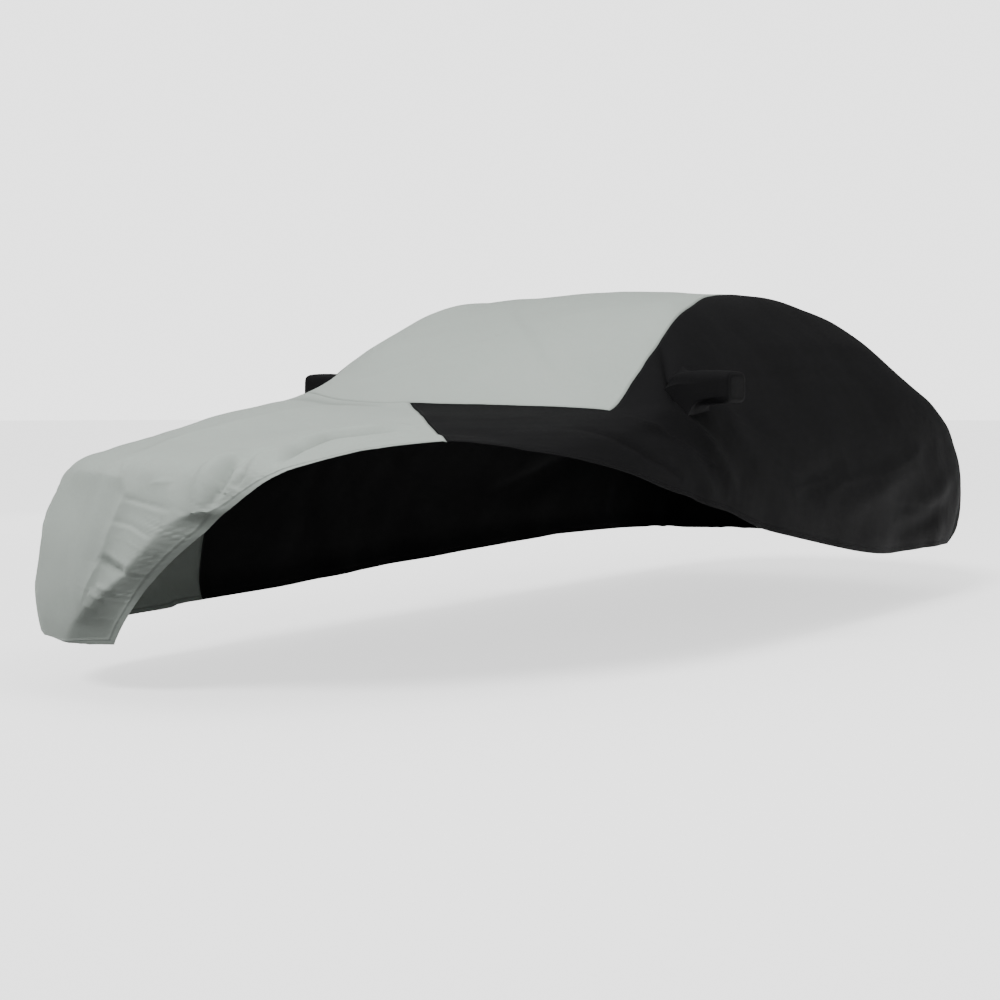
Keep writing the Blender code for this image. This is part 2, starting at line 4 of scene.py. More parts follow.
import bmesh
import bpy
import numpy as np
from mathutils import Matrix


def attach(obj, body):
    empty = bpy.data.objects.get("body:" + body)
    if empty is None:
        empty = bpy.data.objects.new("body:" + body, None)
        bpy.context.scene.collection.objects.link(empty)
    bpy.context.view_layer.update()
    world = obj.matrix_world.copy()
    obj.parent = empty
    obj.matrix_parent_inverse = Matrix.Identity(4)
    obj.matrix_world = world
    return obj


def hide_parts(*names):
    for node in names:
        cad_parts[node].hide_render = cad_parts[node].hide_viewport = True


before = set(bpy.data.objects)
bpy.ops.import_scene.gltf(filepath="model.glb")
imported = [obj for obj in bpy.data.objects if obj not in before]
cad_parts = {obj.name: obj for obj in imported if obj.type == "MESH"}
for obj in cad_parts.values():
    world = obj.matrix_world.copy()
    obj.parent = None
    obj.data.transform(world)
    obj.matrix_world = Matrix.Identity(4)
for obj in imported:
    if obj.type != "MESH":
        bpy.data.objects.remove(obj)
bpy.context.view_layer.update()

GRID_COARSENESS, STITCH_COARSENESS = ((1, 1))

ORIGIN = np.array([0.0, 2.15, 1.5175])
GROUND_Z = -1.5175
CLOTH_THICKNESS = 0.0018

# ---------------------------------------------------------------- the form

Section = namedtuple("Section", "name centre_y centre_z edge_x edge_y edge_z belt_x belt_y belt_z "
                     "waist_x waist_y waist_z skirt_x skirt_y skirt_z")
SECTION_ROWS = (
    ("front_hem", -0.85, 0.175, 0.55, -0.825, 0.175, 0.79, -0.75, 0.14, 0.89, -0.62, 0.03, 0.94, -0.46, -0.25),
    ("bumper", -0.88, 0.42, 0.58, -0.855, 0.41, 0.82, -0.755, 0.36, 0.925, -0.60, 0.25, 0.96, -0.38, -0.08),
    ("nose", -0.865, 0.62, 0.60, -0.825, 0.61, 0.83, -0.705, 0.56, 0.935, -0.50, 0.42, 0.965, -0.25, 0.05),
    ("bonnet_lip", -0.80, 0.80, 0.60, -0.725, 0.80, 0.84, -0.61, 0.72, 0.945, -0.42, 0.56, 0.97, -0.14, 0.15),
    ("bonnet_front", -0.60, 0.88, 0.62, -0.52, 0.86, 0.87, -0.43, 0.78, 0.96, -0.28, 0.62, 0.97, -0.02, 0.19),
    ("bonnet", -0.10, 0.97, 0.67, -0.05, 0.92, 0.90, -0.02, 0.82, 0.97, 0.05, 0.66, 0.97, 0.15, 0.20),
    ("screen_foot", 0.36, 1.015, 0.74, 0.62, 0.99, 0.92, 0.66, 0.87, 0.97, 0.66, 0.68, 0.97, 0.66, 0.20),
    ("screen", 0.90, 1.28, 0.675, 1.02, 1.205, 0.91, 1.05, 0.93, 0.97, 1.05, 0.70, 0.97, 1.05, 0.20),
    ("screen_head", 1.45, 1.455, 0.60, 1.40, 1.40, 0.885, 1.42, 0.98, 0.97, 1.42, 0.70, 0.97, 1.42, 0.20),
    ("roof_front", 1.75, 1.50, 0.56, 1.70, 1.445, 0.88, 1.72, 0.99, 0.97, 1.72, 0.70, 0.97, 1.72, 0.20),
    ("roof", 2.15, 1.52, 0.54, 2.12, 1.47, 0.875, 2.12, 1.0, 0.97, 2.12, 0.70, 0.97, 2.12, 0.20),
    ("roof_rear", 2.75, 1.495, 0.54, 2.72, 1.45, 0.88, 2.72, 1.01, 0.97, 2.72, 0.70, 0.97, 2.72, 0.20),
    ("rear_window", 3.25, 1.385, 0.55, 3.22, 1.35, 0.90, 3.22, 1.01, 0.97, 3.22, 0.70, 0.97, 3.22, 0.20),
    ("boot_front", 3.70, 1.165, 0.60, 3.64, 1.095, 0.88, 3.58, 0.97, 0.96, 3.52, 0.70, 0.97, 3.50, 0.20),
    ("boot", 3.98, 1.07, 0.60, 3.90, 0.99, 0.85, 3.82, 0.89, 0.94, 3.74, 0.68, 0.935, 3.69, 0.20),
    ("boot_lip", 4.20, 1.01, 0.57, 4.10, 0.945, 0.79, 4.00, 0.83, 0.91, 3.89, 0.61, 0.885, 3.75, 0.20),
    ("tail", 4.30, 0.80, 0.57, 4.21, 0.75, 0.77, 4.08, 0.63, 0.885, 3.95, 0.44, 0.845, 3.75, 0.05),
    ("rear_bumper", 4.28, 0.50, 0.53, 4.19, 0.48, 0.71, 4.05, 0.38, 0.80, 3.90, 0.22, 0.83, 3.76, -0.15),
    ("rear_hem", 4.21, 0.25, 0.49, 4.12, 0.25, 0.65, 4.0, 0.15, 0.76, 3.87, 0.0, 0.80, 3.75, -0.35),
)
SECTIONS = [Section(*row) for row in SECTION_ROWS]

# "along" is metres of cloth from the front hem, "across" is metres from the
# centreline, with + on the left.
CROWN = 0.36
EDGE = 0.62
BELT = 1.05
WAIST = 1.38
SKIRT = 1.88
LEFT_RAILS = (CROWN, EDGE, BELT, WAIST, SKIRT)
CROWN_SHARES = np.array([0.60, 0.27, 0.27])

HEM_HEIGHTS = ((0.0, 0.175), (1.9, 0.22), (4.4, 0.29), (5.3, 0.28), (6.58, 0.25))
DRAWN_EDGE = (
    (0.00, -0.46), (0.10, -0.342), (0.25, -0.175), (0.40, 0.022), (0.55, 0.236), (0.70, 0.405), (0.82, 0.508),
    (1.04, 0.70), (1.28, 0.86), (1.57, 1.16), (1.75, 1.31), (2.06, 1.42), (2.60, 1.51), (3.40, 1.65),
    (4.30, 1.78), (5.00, 1.81), (6.58, 1.88),
)
DIAGONAL_SEAM = ((1.055, 0.713), (1.29, 0.465), (1.49, 0.265), (1.83, 0.0))
DIAGONAL_SLANT = 1.35
LEFT_POINT = 1.055
SIDE_SEAM = (
    (1.83, 0.62), (1.95, 0.602), (2.10, 0.598), (2.28, 0.618), (2.55, 0.630), (2.95, 0.642), (3.12, 0.632),
    (3.30, 0.595), (3.50, 0.55), (3.70, 0.505), (3.90, 0.47), (4.70, 0.44), (5.40, 0.46), (6.58, 0.50),
)
RIGHT_POINT = 1.39

# The mirror pockets' mouths: first and last place along, and first and last
# share of the way from the seam to the hem.
Mouth = namedtuple("Mouth", "front back top bottom")
LEFT_MOUTH = Mouth(2.1858, 2.5477, 2 / 12, 5 / 12)
RIGHT_MOUTH = Mouth(2.1858, 2.5477, 2 / 12, 4 / 12)

# ------------------------------------------------------------ the folds

Fold = namedtuple("Fold", "name along_0 across_0 along_1 across_1 width height")
FOLD_ROWS = (
    ("tent_right", 1.05, -0.62, 3.15, -0.60, 0.30, 0.068),
    ("nose_ridge", 0.76, -0.28, 0.08, -0.50, 0.07, 0.030),
    ("nose_trough", 0.62, -0.14, 0.16, -0.36, 0.06, -0.014),
    ("lip_ridge", 0.62, -0.80, 0.60, -0.20, 0.06, 0.014),
    ("bonnet_ridge", 0.60, -0.26, 1.75, -0.14, 0.09, 0.018),
    ("bonnet_trough", 0.80, -0.02, 1.60, 0.10, 0.11, -0.012),
    ("pull_ridge_inner", 0.46, 0.09, 0.82, 0.11, 0.045, 0.024),
    ("pull_trough", 0.52, 0.16, 0.84, 0.18, 0.035, -0.022),
    ("pull_ridge_outer", 0.60, 0.24, 0.86, 0.26, 0.035, 0.016),
    ("roof_edge", 2.72, -0.62, 3.70, -0.60, 0.18, 0.013),
    ("drawn_trough", 0.72, 0.34, 1.16, 0.53, 0.055, -0.016),
    ("drawn_ridge", 0.86, 0.44, 1.30, 0.70, 0.055, 0.010),
    ("point_lift", 0.86, 0.60, 1.36, 0.86, 0.11, 0.018),
    ("wing_ridge", 1.85, 0.70, 2.72, 1.42, 0.06, 0.018),
    ("wing_trough", 1.72, 0.88, 2.55, 1.40, 0.055, -0.016),
    ("pillar_trough", 2.62, 0.62, 2.16, 0.84, 0.05, -0.016),
    ("side_trough", 2.85, 1.02, 3.60, 1.52, 0.08, -0.014),
    ("belt_ridge", 3.05, 0.93, 4.60, 0.95, 0.06, 0.010),
    ("upper_ridge", 3.20, 0.84, 4.80, 0.78, 0.06, 0.008),
    ("quarter_trough", 3.30, 1.45, 3.85, 1.34, 0.06, -0.014),
    ("quarter_ridge", 3.75, 1.56, 4.80, 1.34, 0.07, 0.018),
    ("gather_trough", 4.30, 1.70, 5.40, 1.62, 0.05, -0.018),
    ("gather_ridge", 4.55, 1.60, 5.60, 1.46, 0.06, 0.014),
    ("wing_ridge_right", 1.10, -1.50, 2.05, -1.24, 0.08, 0.016),
    ("side_trough_right", 2.50, -1.06, 3.35, -1.58, 0.08, -0.014),
    ("side_ridge_right", 3.05, -0.95, 4.60, -0.93, 0.07, 0.010),
    ("quarter_ridge_right", 3.90, -1.60, 4.90, -1.30, 0.08, 0.016),
    ("corner_trough_right", 0.25, -1.00, 0.72, -0.86, 0.07, -0.018),
    ("corner_ridge_right", 0.30, -1.22, 0.95, -1.12, 0.08, 0.018),
    ("boot_ridge", 5.30, -0.30, 5.95, 0.36, 0.10, 0.012),
    ("tail_trough_left", 6.00, 0.20, 6.58, 0.34, 0.09, -0.018),
    ("tail_ridge_right", 5.98, -0.24, 6.58, -0.38, 0.09, 0.018),
)
FOLDS = [Fold(*row) for row in FOLD_ROWS]

# Finer creases, each a line of places. A sharpness of 2 is a soft swell and
# under 1.2 a pressed crease.
Crease = namedtuple("Crease", "name width height sharpness places")
CREASE_REACH = 4.0
CREASE_ROWS = (
    ("bonnet_crest", 0.026, 0.0087, 1.1, ((0.61, -0.65), (0.59, -0.27), (0.66, -0.25), (0.83, -0.28),
     (1.04, -0.18), (1.33, -0.17), (1.72, -0.15))),
    ("bonnet_hollow", 0.048, -0.0072, 1.8, ((0.70, -0.38), (0.90, -0.37), (1.30, -0.27), (1.70, -0.24))),
    ("nose_spine", 0.019, 0.0101, 1.2, ((0.70, -0.30), (0.55, -0.24), (0.32, -0.34), (0.16, -0.46))),
    ("packing_1", 0.009, 0.0050, 1.0, ((0.585, -0.15), (0.595, -0.03))),
    ("packing_2", 0.007, -0.0056, 1.1, ((0.535, -0.27), (0.520, -0.15), (0.500, -0.01))),
    ("packing_2_lip", 0.009, 0.0034, 1.1, ((0.520, -0.26), (0.504, -0.15), (0.484, -0.02))),
    ("packing_3", 0.007, -0.0050, 1.1, ((0.460, -0.30), (0.448, -0.21), (0.408, -0.09))),
    ("packing_3_lip", 0.009, 0.0032, 1.1, ((0.444, -0.29), (0.432, -0.21), (0.394, -0.10))),
    ("packing_4", 0.009, 0.0056, 1.0, ((0.585, -0.03), (0.50, -0.045), (0.43, -0.055))),
    ("packing_5", 0.011, 0.0036, 1.0, ((0.66, -0.62), (0.65, -0.34))),
    ("nose_pinch", 0.021, -0.0159, 1.3, ((0.335, -0.345), (0.30, -0.29), (0.285, -0.225))),
    ("nose_pinch_lip", 0.011, 0.0065, 1.1, ((0.355, -0.325), (0.325, -0.27), (0.305, -0.19))),
    ("lower_wrinkle_1", 0.011, 0.0080, 1.1, ((0.235, -0.37), (0.215, -0.31))),
    ("lower_wrinkle_2", 0.011, 0.0072, 1.1, ((0.215, -0.40), (0.185, -0.36))),
    ("lower_wrinkle_3", 0.010, 0.0043, 1.1, ((0.175, -0.44), (0.145, -0.41))),
    ("pull_1", 0.018, -0.0174, 1.4, ((0.495, 0.11), (0.53, 0.14), (0.59, 0.165), (0.66, 0.165),
     (0.75, 0.14))),
    ("pull_1_lip", 0.012, 0.0072, 1.3, ((0.54, 0.175), (0.61, 0.205), (0.71, 0.195))),
    ("pull_2", 0.011, -0.0116, 1.3, ((0.59, 0.225), (0.64, 0.245), (0.72, 0.235))),
    ("pull_3", 0.012, -0.0065, 1.4, ((0.60, 0.06), (0.70, 0.07), (0.82, 0.03))),
    ("bonnet_sweep", 0.015, -0.0240, 1.4, ((0.70, 0.34), (0.76, 0.322), (0.83, 0.304), (0.97, 0.31),
     (1.04, 0.352), (1.16, 0.394), (1.25, 0.43))),
    ("bonnet_sweep_lip", 0.022, 0.0200, 1.7, ((0.76, 0.262), (0.88, 0.252), (1.00, 0.278), (1.15, 0.345),
     (1.30, 0.37))),
    ("screen_foot_hollow", 0.050, -0.0100, 1.7, ((1.72, -0.66), (1.765, -0.40), (1.79, -0.02))),
    ("screen_crease_1", 0.026, 0.0022, 1.5, ((1.95, -0.45), (2.40, 0.02), (2.95, 0.36))),
    ("screen_crease_2", 0.026, -0.0022, 1.5, ((2.02, 0.46), (2.45, 0.16), (2.98, -0.26))),
    ("screen_crease_3", 0.023, 0.0018, 1.5, ((1.92, 0.10), (2.30, 0.34), (2.55, 0.58))),
    ("side_fold_1", 0.023, 0.0101, 1.3, ((1.79, 0.69), (1.82, 0.83), (1.95, 1.02), (2.12, 1.15),
     (2.41, 1.28), (2.70, 1.36))),
    ("side_fold_2", 0.023, -0.0094, 1.3, ((1.58, 0.71), (1.62, 0.82), (1.67, 0.96), (1.75, 1.14),
     (1.96, 1.33))),
    ("pillar_fold", 0.019, -0.0087, 1.3, ((2.58, 0.64), (2.40, 0.72), (2.12, 0.86))),
    ("belt_1", 0.019, 0.0058, 1.3, ((3.20, 0.85), (4.00, 0.83), (4.75, 0.80))),
    ("belt_2", 0.018, -0.0058, 1.3, ((3.10, 0.93), (3.80, 0.925), (4.45, 0.94))),
    ("quarter_1", 0.019, 0.0072, 1.3, ((3.28, 1.44), (3.55, 1.41), (3.80, 1.37))),
    ("quarter_2", 0.021, 0.0080, 1.3, ((3.61, 1.46), (3.82, 1.415), (4.21, 1.40), (4.53, 1.355),
     (4.84, 1.28))),
    ("hem_gather", 0.021, -0.0087, 1.4, ((4.38, 1.57), (4.82, 1.60), (5.33, 1.60))),
    ("side_fold_3", 0.026, 0.0058, 1.4, ((2.75, 0.98), (3.05, 1.16), (3.40, 1.40))),
    ("belt_right", 0.019, 0.0058, 1.3, ((3.05, -0.86), (3.90, -0.84), (4.70, -0.82))),
    ("pillar_fold_right", 0.019, -0.0087, 1.3, ((2.60, -0.65), (2.38, -0.74), (2.10, -0.88))),
    ("side_fold_right", 0.025, 0.0094, 1.3, ((1.90, -0.74), (2.20, -1.05), (2.62, -1.40))),
    ("quarter_right", 0.023, 0.0072, 1.3, ((3.80, -1.55), (4.30, -1.44), (4.80, -1.30))),
    ("corner_right_1", 0.023, 0.0087, 1.3, ((0.35, -0.78), (0.62, -0.92), (0.98, -1.00))),
    ("corner_right_2", 0.021, -0.0080, 1.3, ((0.20, -0.86), (0.45, -1.08), (0.80, -1.30))),
    ("tail_crease", 0.023, 0.0058, 1.4, ((5.55, -0.28), (5.95, 0.05), (6.30, 0.30))),
    ("rear_window_crease", 0.026, 0.0022, 1.5, ((4.55, 0.30), (4.95, -0.05), (5.25, -0.32))),
    ("roof_crease", 0.030, 0.0019, 1.5, ((3.15, -0.38), (3.75, 0.05), (4.40, 0.30))),
)
CREASES = [Crease(*row) for row in CREASE_ROWS]

Wave = namedtuple("Wave", "length depth start")
SKIRT_WAVES = (Wave(0.83, 0.006, 0.20), Wave(0.47, 0.003, 0.11))

# Slow unevenness of cloth that has been folded away: wavelength, height, and
# how many waves cross each other.
Ripple = namedtuple("Ripple", "length height count")
RIPPLES = (Ripple(0.62, 0.0015, 5), Ripple(0.27, 0.0008, 6), Ripple(0.11, 0.0002, 7))
RIPPLE_GAIN = 1.4
RIPPLE_SEED = 11

# Along the drawn edge the cloth turns in under itself. The width is measured
# across, from the edge to the line where it folds.
Turn = namedtuple("Turn", "along width depth")
TURNED_EDGE = (
    Turn(0.00, 0.24, 0.075), Turn(0.08, 0.21, 0.079), Turn(0.18, 0.14, 0.085), Turn(0.28, 0.10, 0.082),
    Turn(0.38, 0.11, 0.077), Turn(0.45, 0.125, 0.066), Turn(0.478, 0.11, 0.058), Turn(0.500, 0.045, 0.050),
    Turn(0.53, 0.08, 0.046), Turn(0.59, 0.125, 0.036), Turn(0.68, 0.20, 0.022), Turn(0.84, 0.16, 0.0),
)
TURN_SOFTNESS = 0.11
# Lifts the soft start of the turn back on to the plain form.
TURN_START = 0.0016
# Shares of the turn's width beyond which it stays as it is: inside its fold
# line, and past the drawn edge.
TURN_INSIDE = -3.0
TURN_PAST_EDGE = 1.3

# Small gathers run in from the drawn edge where the cloth is bunched.
Gather = namedtuple("Gather", "along height")
GATHERS = (
    Gather(0.00, 0.0008), Gather(0.12, 0.0012), Gather(0.28, 0.0020), Gather(0.42, 0.0026),
    Gather(0.60, 0.0024), Gather(0.78, 0.0014), Gather(1.00, 0.0006), Gather(1.60, 0.0005),
    Gather(2.40, 0.0004), Gather(6.60, 0.0004),
)
# They cross a slanting direction, and bend and fade in slow waves of their own.
GATHER_DIRECTION = (1.25, 0.35)
GATHER_LENGTHS = (0.047, 0.031, 0.023, 0.017)
GATHER_REACH = 0.075
BEND_LENGTH = 0.19
BEND_DEPTH = 2.1
FADE_LENGTH = 0.13
FADE_DEPTH = 0.6

# Seams: a dip between the soft swells of their two allowances.
SEAM_DEPTH = 0.0024
SEAM_WIDTH = 0.0045
SWELL_HEIGHT = 0.0009
SWELL_INSET = 0.011
SWELL_WIDTH = 0.006
SEAM_STITCH_INSET = 0.008
SEAM_BAND = (0.003, 0.007, 0.013)
# A seam's dip starts this far in front of its first place.
SIDE_SEAM_LEAD = 0.03
RIGHT_SEAM_LEAD = 0.05

# Hems: the cloth is turned up once and stitched near the inner edge.
HEM_WIDTH = 0.020
HEM_STEP = 0.0025
HEM_LIFT = 0.0024
HEM_DENT = 0.0018
HEM_DENT_WIDTH = 0.0022
HEM_STITCH_INSET = 0.0165
HEM_BAND = (0.004, 0.010, 0.014, 0.0165, 0.019, 0.0215, 0.024, 0.032)

# The stitched hem holds folds down near the drawn edge.
TAUT_REACH = 0.035
TAUT_FREEDOM = 0.25
# The level hems draw in a little, as their edges are held tight.
TUCK_REACH = 0.12
TUCK_DEPTH = 0.036
RIGHT_TUCK, LEFT_TUCK, FRONT_TUCK, REAR_TUCK = 1.0, 0.7, 0.35, 0.6
# Stitched grooves and the bottoms of creases at least this deep get painted shade: they are painted darker.
SHADE_WIDTH = 0.0045
SHADED_DEPTH = 0.016


class Blend:
    """A smooth blend through unevenly spaced knots, with the weight of each knot."""

    def __init__(self, knots):
        self.knots = np.array(knots, dtype=float)
        count = len(self.knots)
        gaps = np.diff(self.knots)
        slopes = np.zeros((count, count))
        slopes[0, :2] = (-1.0 / gaps[0], 1.0 / gaps[0])
        slopes[-1, -2:] = (-1.0 / gaps[-1], 1.0 / gaps[-1])
        for i in range(1, count - 1):
            slopes[i, i + 1] = gaps[i - 1] / gaps[i] / (gaps[i - 1] + gaps[i])
            slopes[i, i - 1] = -gaps[i] / gaps[i - 1] / (gaps[i - 1] + gaps[i])
            slopes[i, i] = -slopes[i, i + 1] - slopes[i, i - 1]
        self.slopes = slopes

    def weights(self, places):
        left = np.clip(np.searchsorted(self.knots, places, side="right") - 1, 0, len(self.knots) - 2)
        gap = self.knots[left + 1] - self.knots[left]
        u = (places - self.knots[left]) / gap
        rows = np.arange(len(places))
        weights = np.zeros((len(places), len(self.knots)))
        weights[rows, left] = 2 * u**3 - 3 * u**2 + 1
        weights[rows, left + 1] = 3 * u**2 - 2 * u**3
        weights += ((u**3 - 2 * u**2 + u) * gap)[:, None] * self.slopes[left]
        weights += ((u**3 - u**2) * gap)[:, None] * self.slopes[left + 1]
        return weights


def section_points():
    """The rail points of every section, from the right skirt to the left one."""
    middle = len(LEFT_RAILS)
    points = np.zeros((len(SECTIONS), 2 * middle + 1, 3))
    for i, section in enumerate(SECTIONS):
        centre = np.array([0.0, section.centre_y, section.centre_z])
        rails = [
            np.array([getattr(section, f"{rail}_{axis}") for axis in "xyz"])
            for rail in ("edge", "belt", "waist", "skirt")
        ]
        rails.insert(0, centre + (rails[0] - centre) * CROWN_SHARES)
        points[i, middle] = centre
        for step, rail in enumerate(rails, start=1):
            points[i, middle + step] = rail
            points[i, middle - step] = rail * (-1.0, 1.0, 1.0)
    return points


POINTS = section_points()
CENTRE_STEPS = np.linalg.norm(np.diff(POINTS[:, len(LEFT_RAILS)], axis=0), axis=1)
SECTION_ALONG = np.concatenate([[0.0], np.cumsum(CENTRE_STEPS)])
SECTION_NAMES = [section.name for section in SECTIONS]
ALONG_BLEND = Blend(SECTION_ALONG)
ACROSS_BLEND = Blend([-rail for rail in reversed(LEFT_RAILS)] + [0.0] + list(LEFT_RAILS))
SCREEN_FOOT = SECTION_ALONG[SECTION_NAMES.index("screen_foot")]
BOOT_FRONT = SECTION_ALONG[SECTION_NAMES.index("boot_front")]
REAR_HEM = SECTION_ALONG[SECTION_NAMES.index("rear_hem")]


def read_places(table, along):
    """A smooth line through a table of places, read at each place along."""
    table = np.array(table)
    return Blend(table[:, 0]).weights(np.ravel(along)).dot(table[:, 1]).reshape(np.shape(along))


def read_table(rows, value, along):
    """A column of a table, read between its rows."""
    return np.interp(along, [row.along for row in rows], [getattr(row, value) for row in rows])


def plain_form(along, across):
    """Points of the form without its folds."""
    rows = np.tensordot(ALONG_BLEND.weights(along), POINTS, axes=(1, 0))
    return np.einsum("nj,njk->nk", ACROSS_BLEND.weights(across), rows)


def facing(form, along, across, step=0.004):
    """The outward direction of a form at each place."""
    backwards = form(along + step, across) - form(along - step, across)
    leftwards = form(along, across + step) - form(along, across - step)
    direction = np.cross(leftwards, backwards)
    return direction / np.maximum(np.linalg.norm(direction, axis=1), 1e-9)[:, None]


def find_level_hem():
    """How far out the cloth reaches the hem's height, for a line of places along."""
    places, steps = 150, 200
    along = np.linspace(0.0, REAR_HEM, places)
    samples = np.linspace(EDGE, SKIRT, steps)
    heights = plain_form(np.repeat(along, steps), np.tile(samples, places))[:, 2].reshape(places, steps)
    hem = np.array(HEM_HEIGHTS)
    wanted = np.interp(along, hem[:, 0], hem[:, 1])
    return along, np.array([np.interp(-wanted[i], -heights[i], samples) for i in range(places)])


LEVEL_HEM = find_level_hem()


def level_hem(along):
    return np.interp(along, *LEVEL_HEM)


def right_hem(along):
    return -level_hem(along)


def drawn_edge(along):
    return read_places(DRAWN_EDGE, along)


def left_edge(along):
    return np.minimum(drawn_edge(along), level_hem(along))


def side_seam(along):
    """The seam of the side panels along the long top panel and the tail."""
    return np.where(along <= SCREEN_FOOT, EDGE, read_places(SIDE_SEAM, along))


def diagonal_seam(along):
    """The seam between the grey front and the black left panel."""
    table = np.array(DIAGONAL_SEAM)
    return np.where(along > SCREEN_FOOT - 1e-6, 0.0, np.interp(along, table[:, 0], table[:, 1]))


def right_seam(along):
    """The right panel's seam: up from its point at the hem, and then back."""
    start = float(right_hem(RIGHT_POINT))
    rising = np.interp(along, (RIGHT_POINT, SCREEN_FOOT), (start, -EDGE))
    return np.where(along < SCREEN_FOOT, rising, -side_seam(along))


def left_inner_line(along):
    """A line inside the left panel from its point to the top panel, and its seam beyond."""
    rising = np.interp(along, (LEFT_POINT, SCREEN_FOOT), (DIAGONAL_SEAM[0][1], EDGE))
    return np.where(along < SCREEN_FOOT, rising, side_seam(along))


def stretch(line, along):
    """How much longer a way across is than the way straight in from a slanting line."""
    step = 0.004
    steepest = 3.0
    slope = (line(along + step) - line(along - step)) / (2.0 * step)
    return np.sqrt(1.0 + np.minimum(slope**2, steepest**2))


# ------------------------------------------------- heights over the plain form

def bell(distance, width):
    """1 in the middle, and fading out smoothly over a width."""
    return np.exp(-(distance / width) ** 2)


def fold_height(fold, along, across):
    run = np.array([fold.along_1 - fold.along_0, fold.across_1 - fold.across_0])
    length = np.linalg.norm(run)
    run = run / length
    forward = (along - fold.along_0) * run[0] + (across - fold.across_0) * run[1]
    aside = (across - fold.across_0) * run[0] - (along - fold.along_0) * run[1]
    middle = 2.0 * forward / length - 1.0
    return fold.height * np.clip(1.0 - middle**2, 0.0, 1.0) * bell(aside, fold.width)


def nearest_on_line(places, along, across):
    """Distance from a line of places, and the share of the line at the nearest point."""
    corners = np.array(places)
    runs = np.diff(corners, axis=0)
    lengths = np.linalg.norm(runs, axis=1)
    travelled = np.concatenate([[0.0], np.cumsum(lengths)])
    nearest = np.full(along.shape, 1e9)
    share = np.zeros(along.shape)
    for i, run in enumerate(runs):
        t = ((along - corners[i, 0]) * run[0] + (across - corners[i, 1]) * run[1]) / lengths[i] ** 2
        t = np.clip(t, 0.0, 1.0)
        distance = np.hypot(along - corners[i, 0] - t * run[0], across - corners[i, 1] - t * run[1])
        closer = distance < nearest
        nearest = np.where(closer, distance, nearest)
        share = np.where(closer, (travelled[i] + t * lengths[i]) / travelled[-1], share)
    return nearest, share


def crease_height(crease, along, across):
    """One crease, which fades out towards its ends."""
    reach = CREASE_REACH * crease.width
    places = np.array(crease.places)
    low = places.min(axis=0) - reach
    high = places.max(axis=0) + reach
    near = (along > low[0]) & (along < high[0]) & (across > low[1]) & (across < high[1])
    height = np.zeros(along.shape)
    if near.any():
        distance, share = nearest_on_line(crease.places, along[near], across[near])
        fade = np.clip(1.0 - (2.0 * share - 1.0) ** 4, 0.0, 1.0)
        height[near] = crease.height * fade * np.exp(-(distance / crease.width) ** crease.sharpness)
    return height


def wave_height(along, across):
    below = np.clip((np.abs(across) - BELT) / (SKIRT - BELT), 0.0, 1.0)
    height = np.zeros_like(along)
    for wave in SKIRT_WAVES:
        height += wave.depth * np.sin(2.0 * np.pi * (along + wave.start * np.sign(across)) / wave.length)
    return height * below**1.5


def ripple_height(along, across):
    """Slow unevenness, the same on every run."""
    chance = np.random.default_rng(RIPPLE_SEED)
    height = np.zeros_like(along)
    for ripple in RIPPLES:
        for _ in range(ripple.count):
            turn, start, scale = chance.uniform((0.0, 0.0, 0.75), (np.pi, 2.0 * np.pi, 1.3))
            travel = along * np.cos(turn) + across * np.sin(turn)
            wave = np.sin(2.0 * np.pi * travel / (ripple.length * scale) + start)
            height += ripple.height / np.sqrt(ripple.count) * wave * RIPPLE_GAIN
    return height


def turned_depth(along, across):
    """How far the cloth turns in between its fold line and its drawn edge."""
    width = read_table(TURNED_EDGE, "width", along)
    share = np.clip(1.0 - (drawn_edge(along) - across) / width, TURN_INSIDE, TURN_PAST_EDGE)
    ramp = (share + np.sqrt(share**2 + TURN_SOFTNESS**2)) / (1.0 + np.sqrt(1.0 + TURN_SOFTNESS**2))
    ramp = np.where(share > TURN_INSIDE, ramp - TURN_START, 0.0)
    return read_table(TURNED_EDGE, "depth", along) * np.maximum(ramp, 0.0)


def gather_height(along, across, inside):
    """Small gathers that run in from the drawn edge."""
    chance = np.random.default_rng(RIPPLE_SEED + 1)
    line = along * GATHER_DIRECTION[0] + across * GATHER_DIRECTION[1]
    height = np.zeros_like(along)
    for length in GATHER_LENGTHS:
        start = chance.uniform(0.0, 2.0 * np.pi)
        bend = BEND_DEPTH * np.sin(line * 2.0 * np.pi / BEND_LENGTH + start)
        height += np.sin(2.0 * np.pi * line / length + start + bend)
    reach = GATHER_REACH * (1.0 + FADE_DEPTH * np.sin(line * 2.0 * np.pi / FADE_LENGTH + 1.0))
    fade = np.exp(-(np.maximum(inside, 0.0) / reach) ** 1.5)
    return read_table(GATHERS, "height", along) * height / 2.0 * fade


def edge_distances(along, across):
    """How far inside the nearest hem each place lies, and inside the drawn edge."""
    left = (left_edge(along) - across) / stretch(left_edge, along)
    right = across + level_hem(along)
    hem = np.minimum(np.minimum(left, right), np.minimum(along, REAR_HEM - along))
    return hem, left


def seam_distance(along, across):
    """How far each place is from the nearest seam."""
    far = np.full(along.shape, 1.0)
    left_side = np.where(along > SCREEN_FOOT - SIDE_SEAM_LEAD, np.abs(across - side_seam(along)), far)
    right_side = np.where(along > RIGHT_POINT - RIGHT_SEAM_LEAD,
                          np.abs(across - right_seam(along)) / stretch(right_seam, along), far)
    diagonal, _ = nearest_on_line(DIAGONAL_SEAM, along, across)
    foot = np.where(np.abs(across) < EDGE, np.abs(along - SCREEN_FOOT), far)
    boot = np.where(np.abs(across) < side_seam(along), np.abs(along - BOOT_FRONT), far)
    return np.minimum.reduce([left_side, right_side, diagonal, foot, boot])


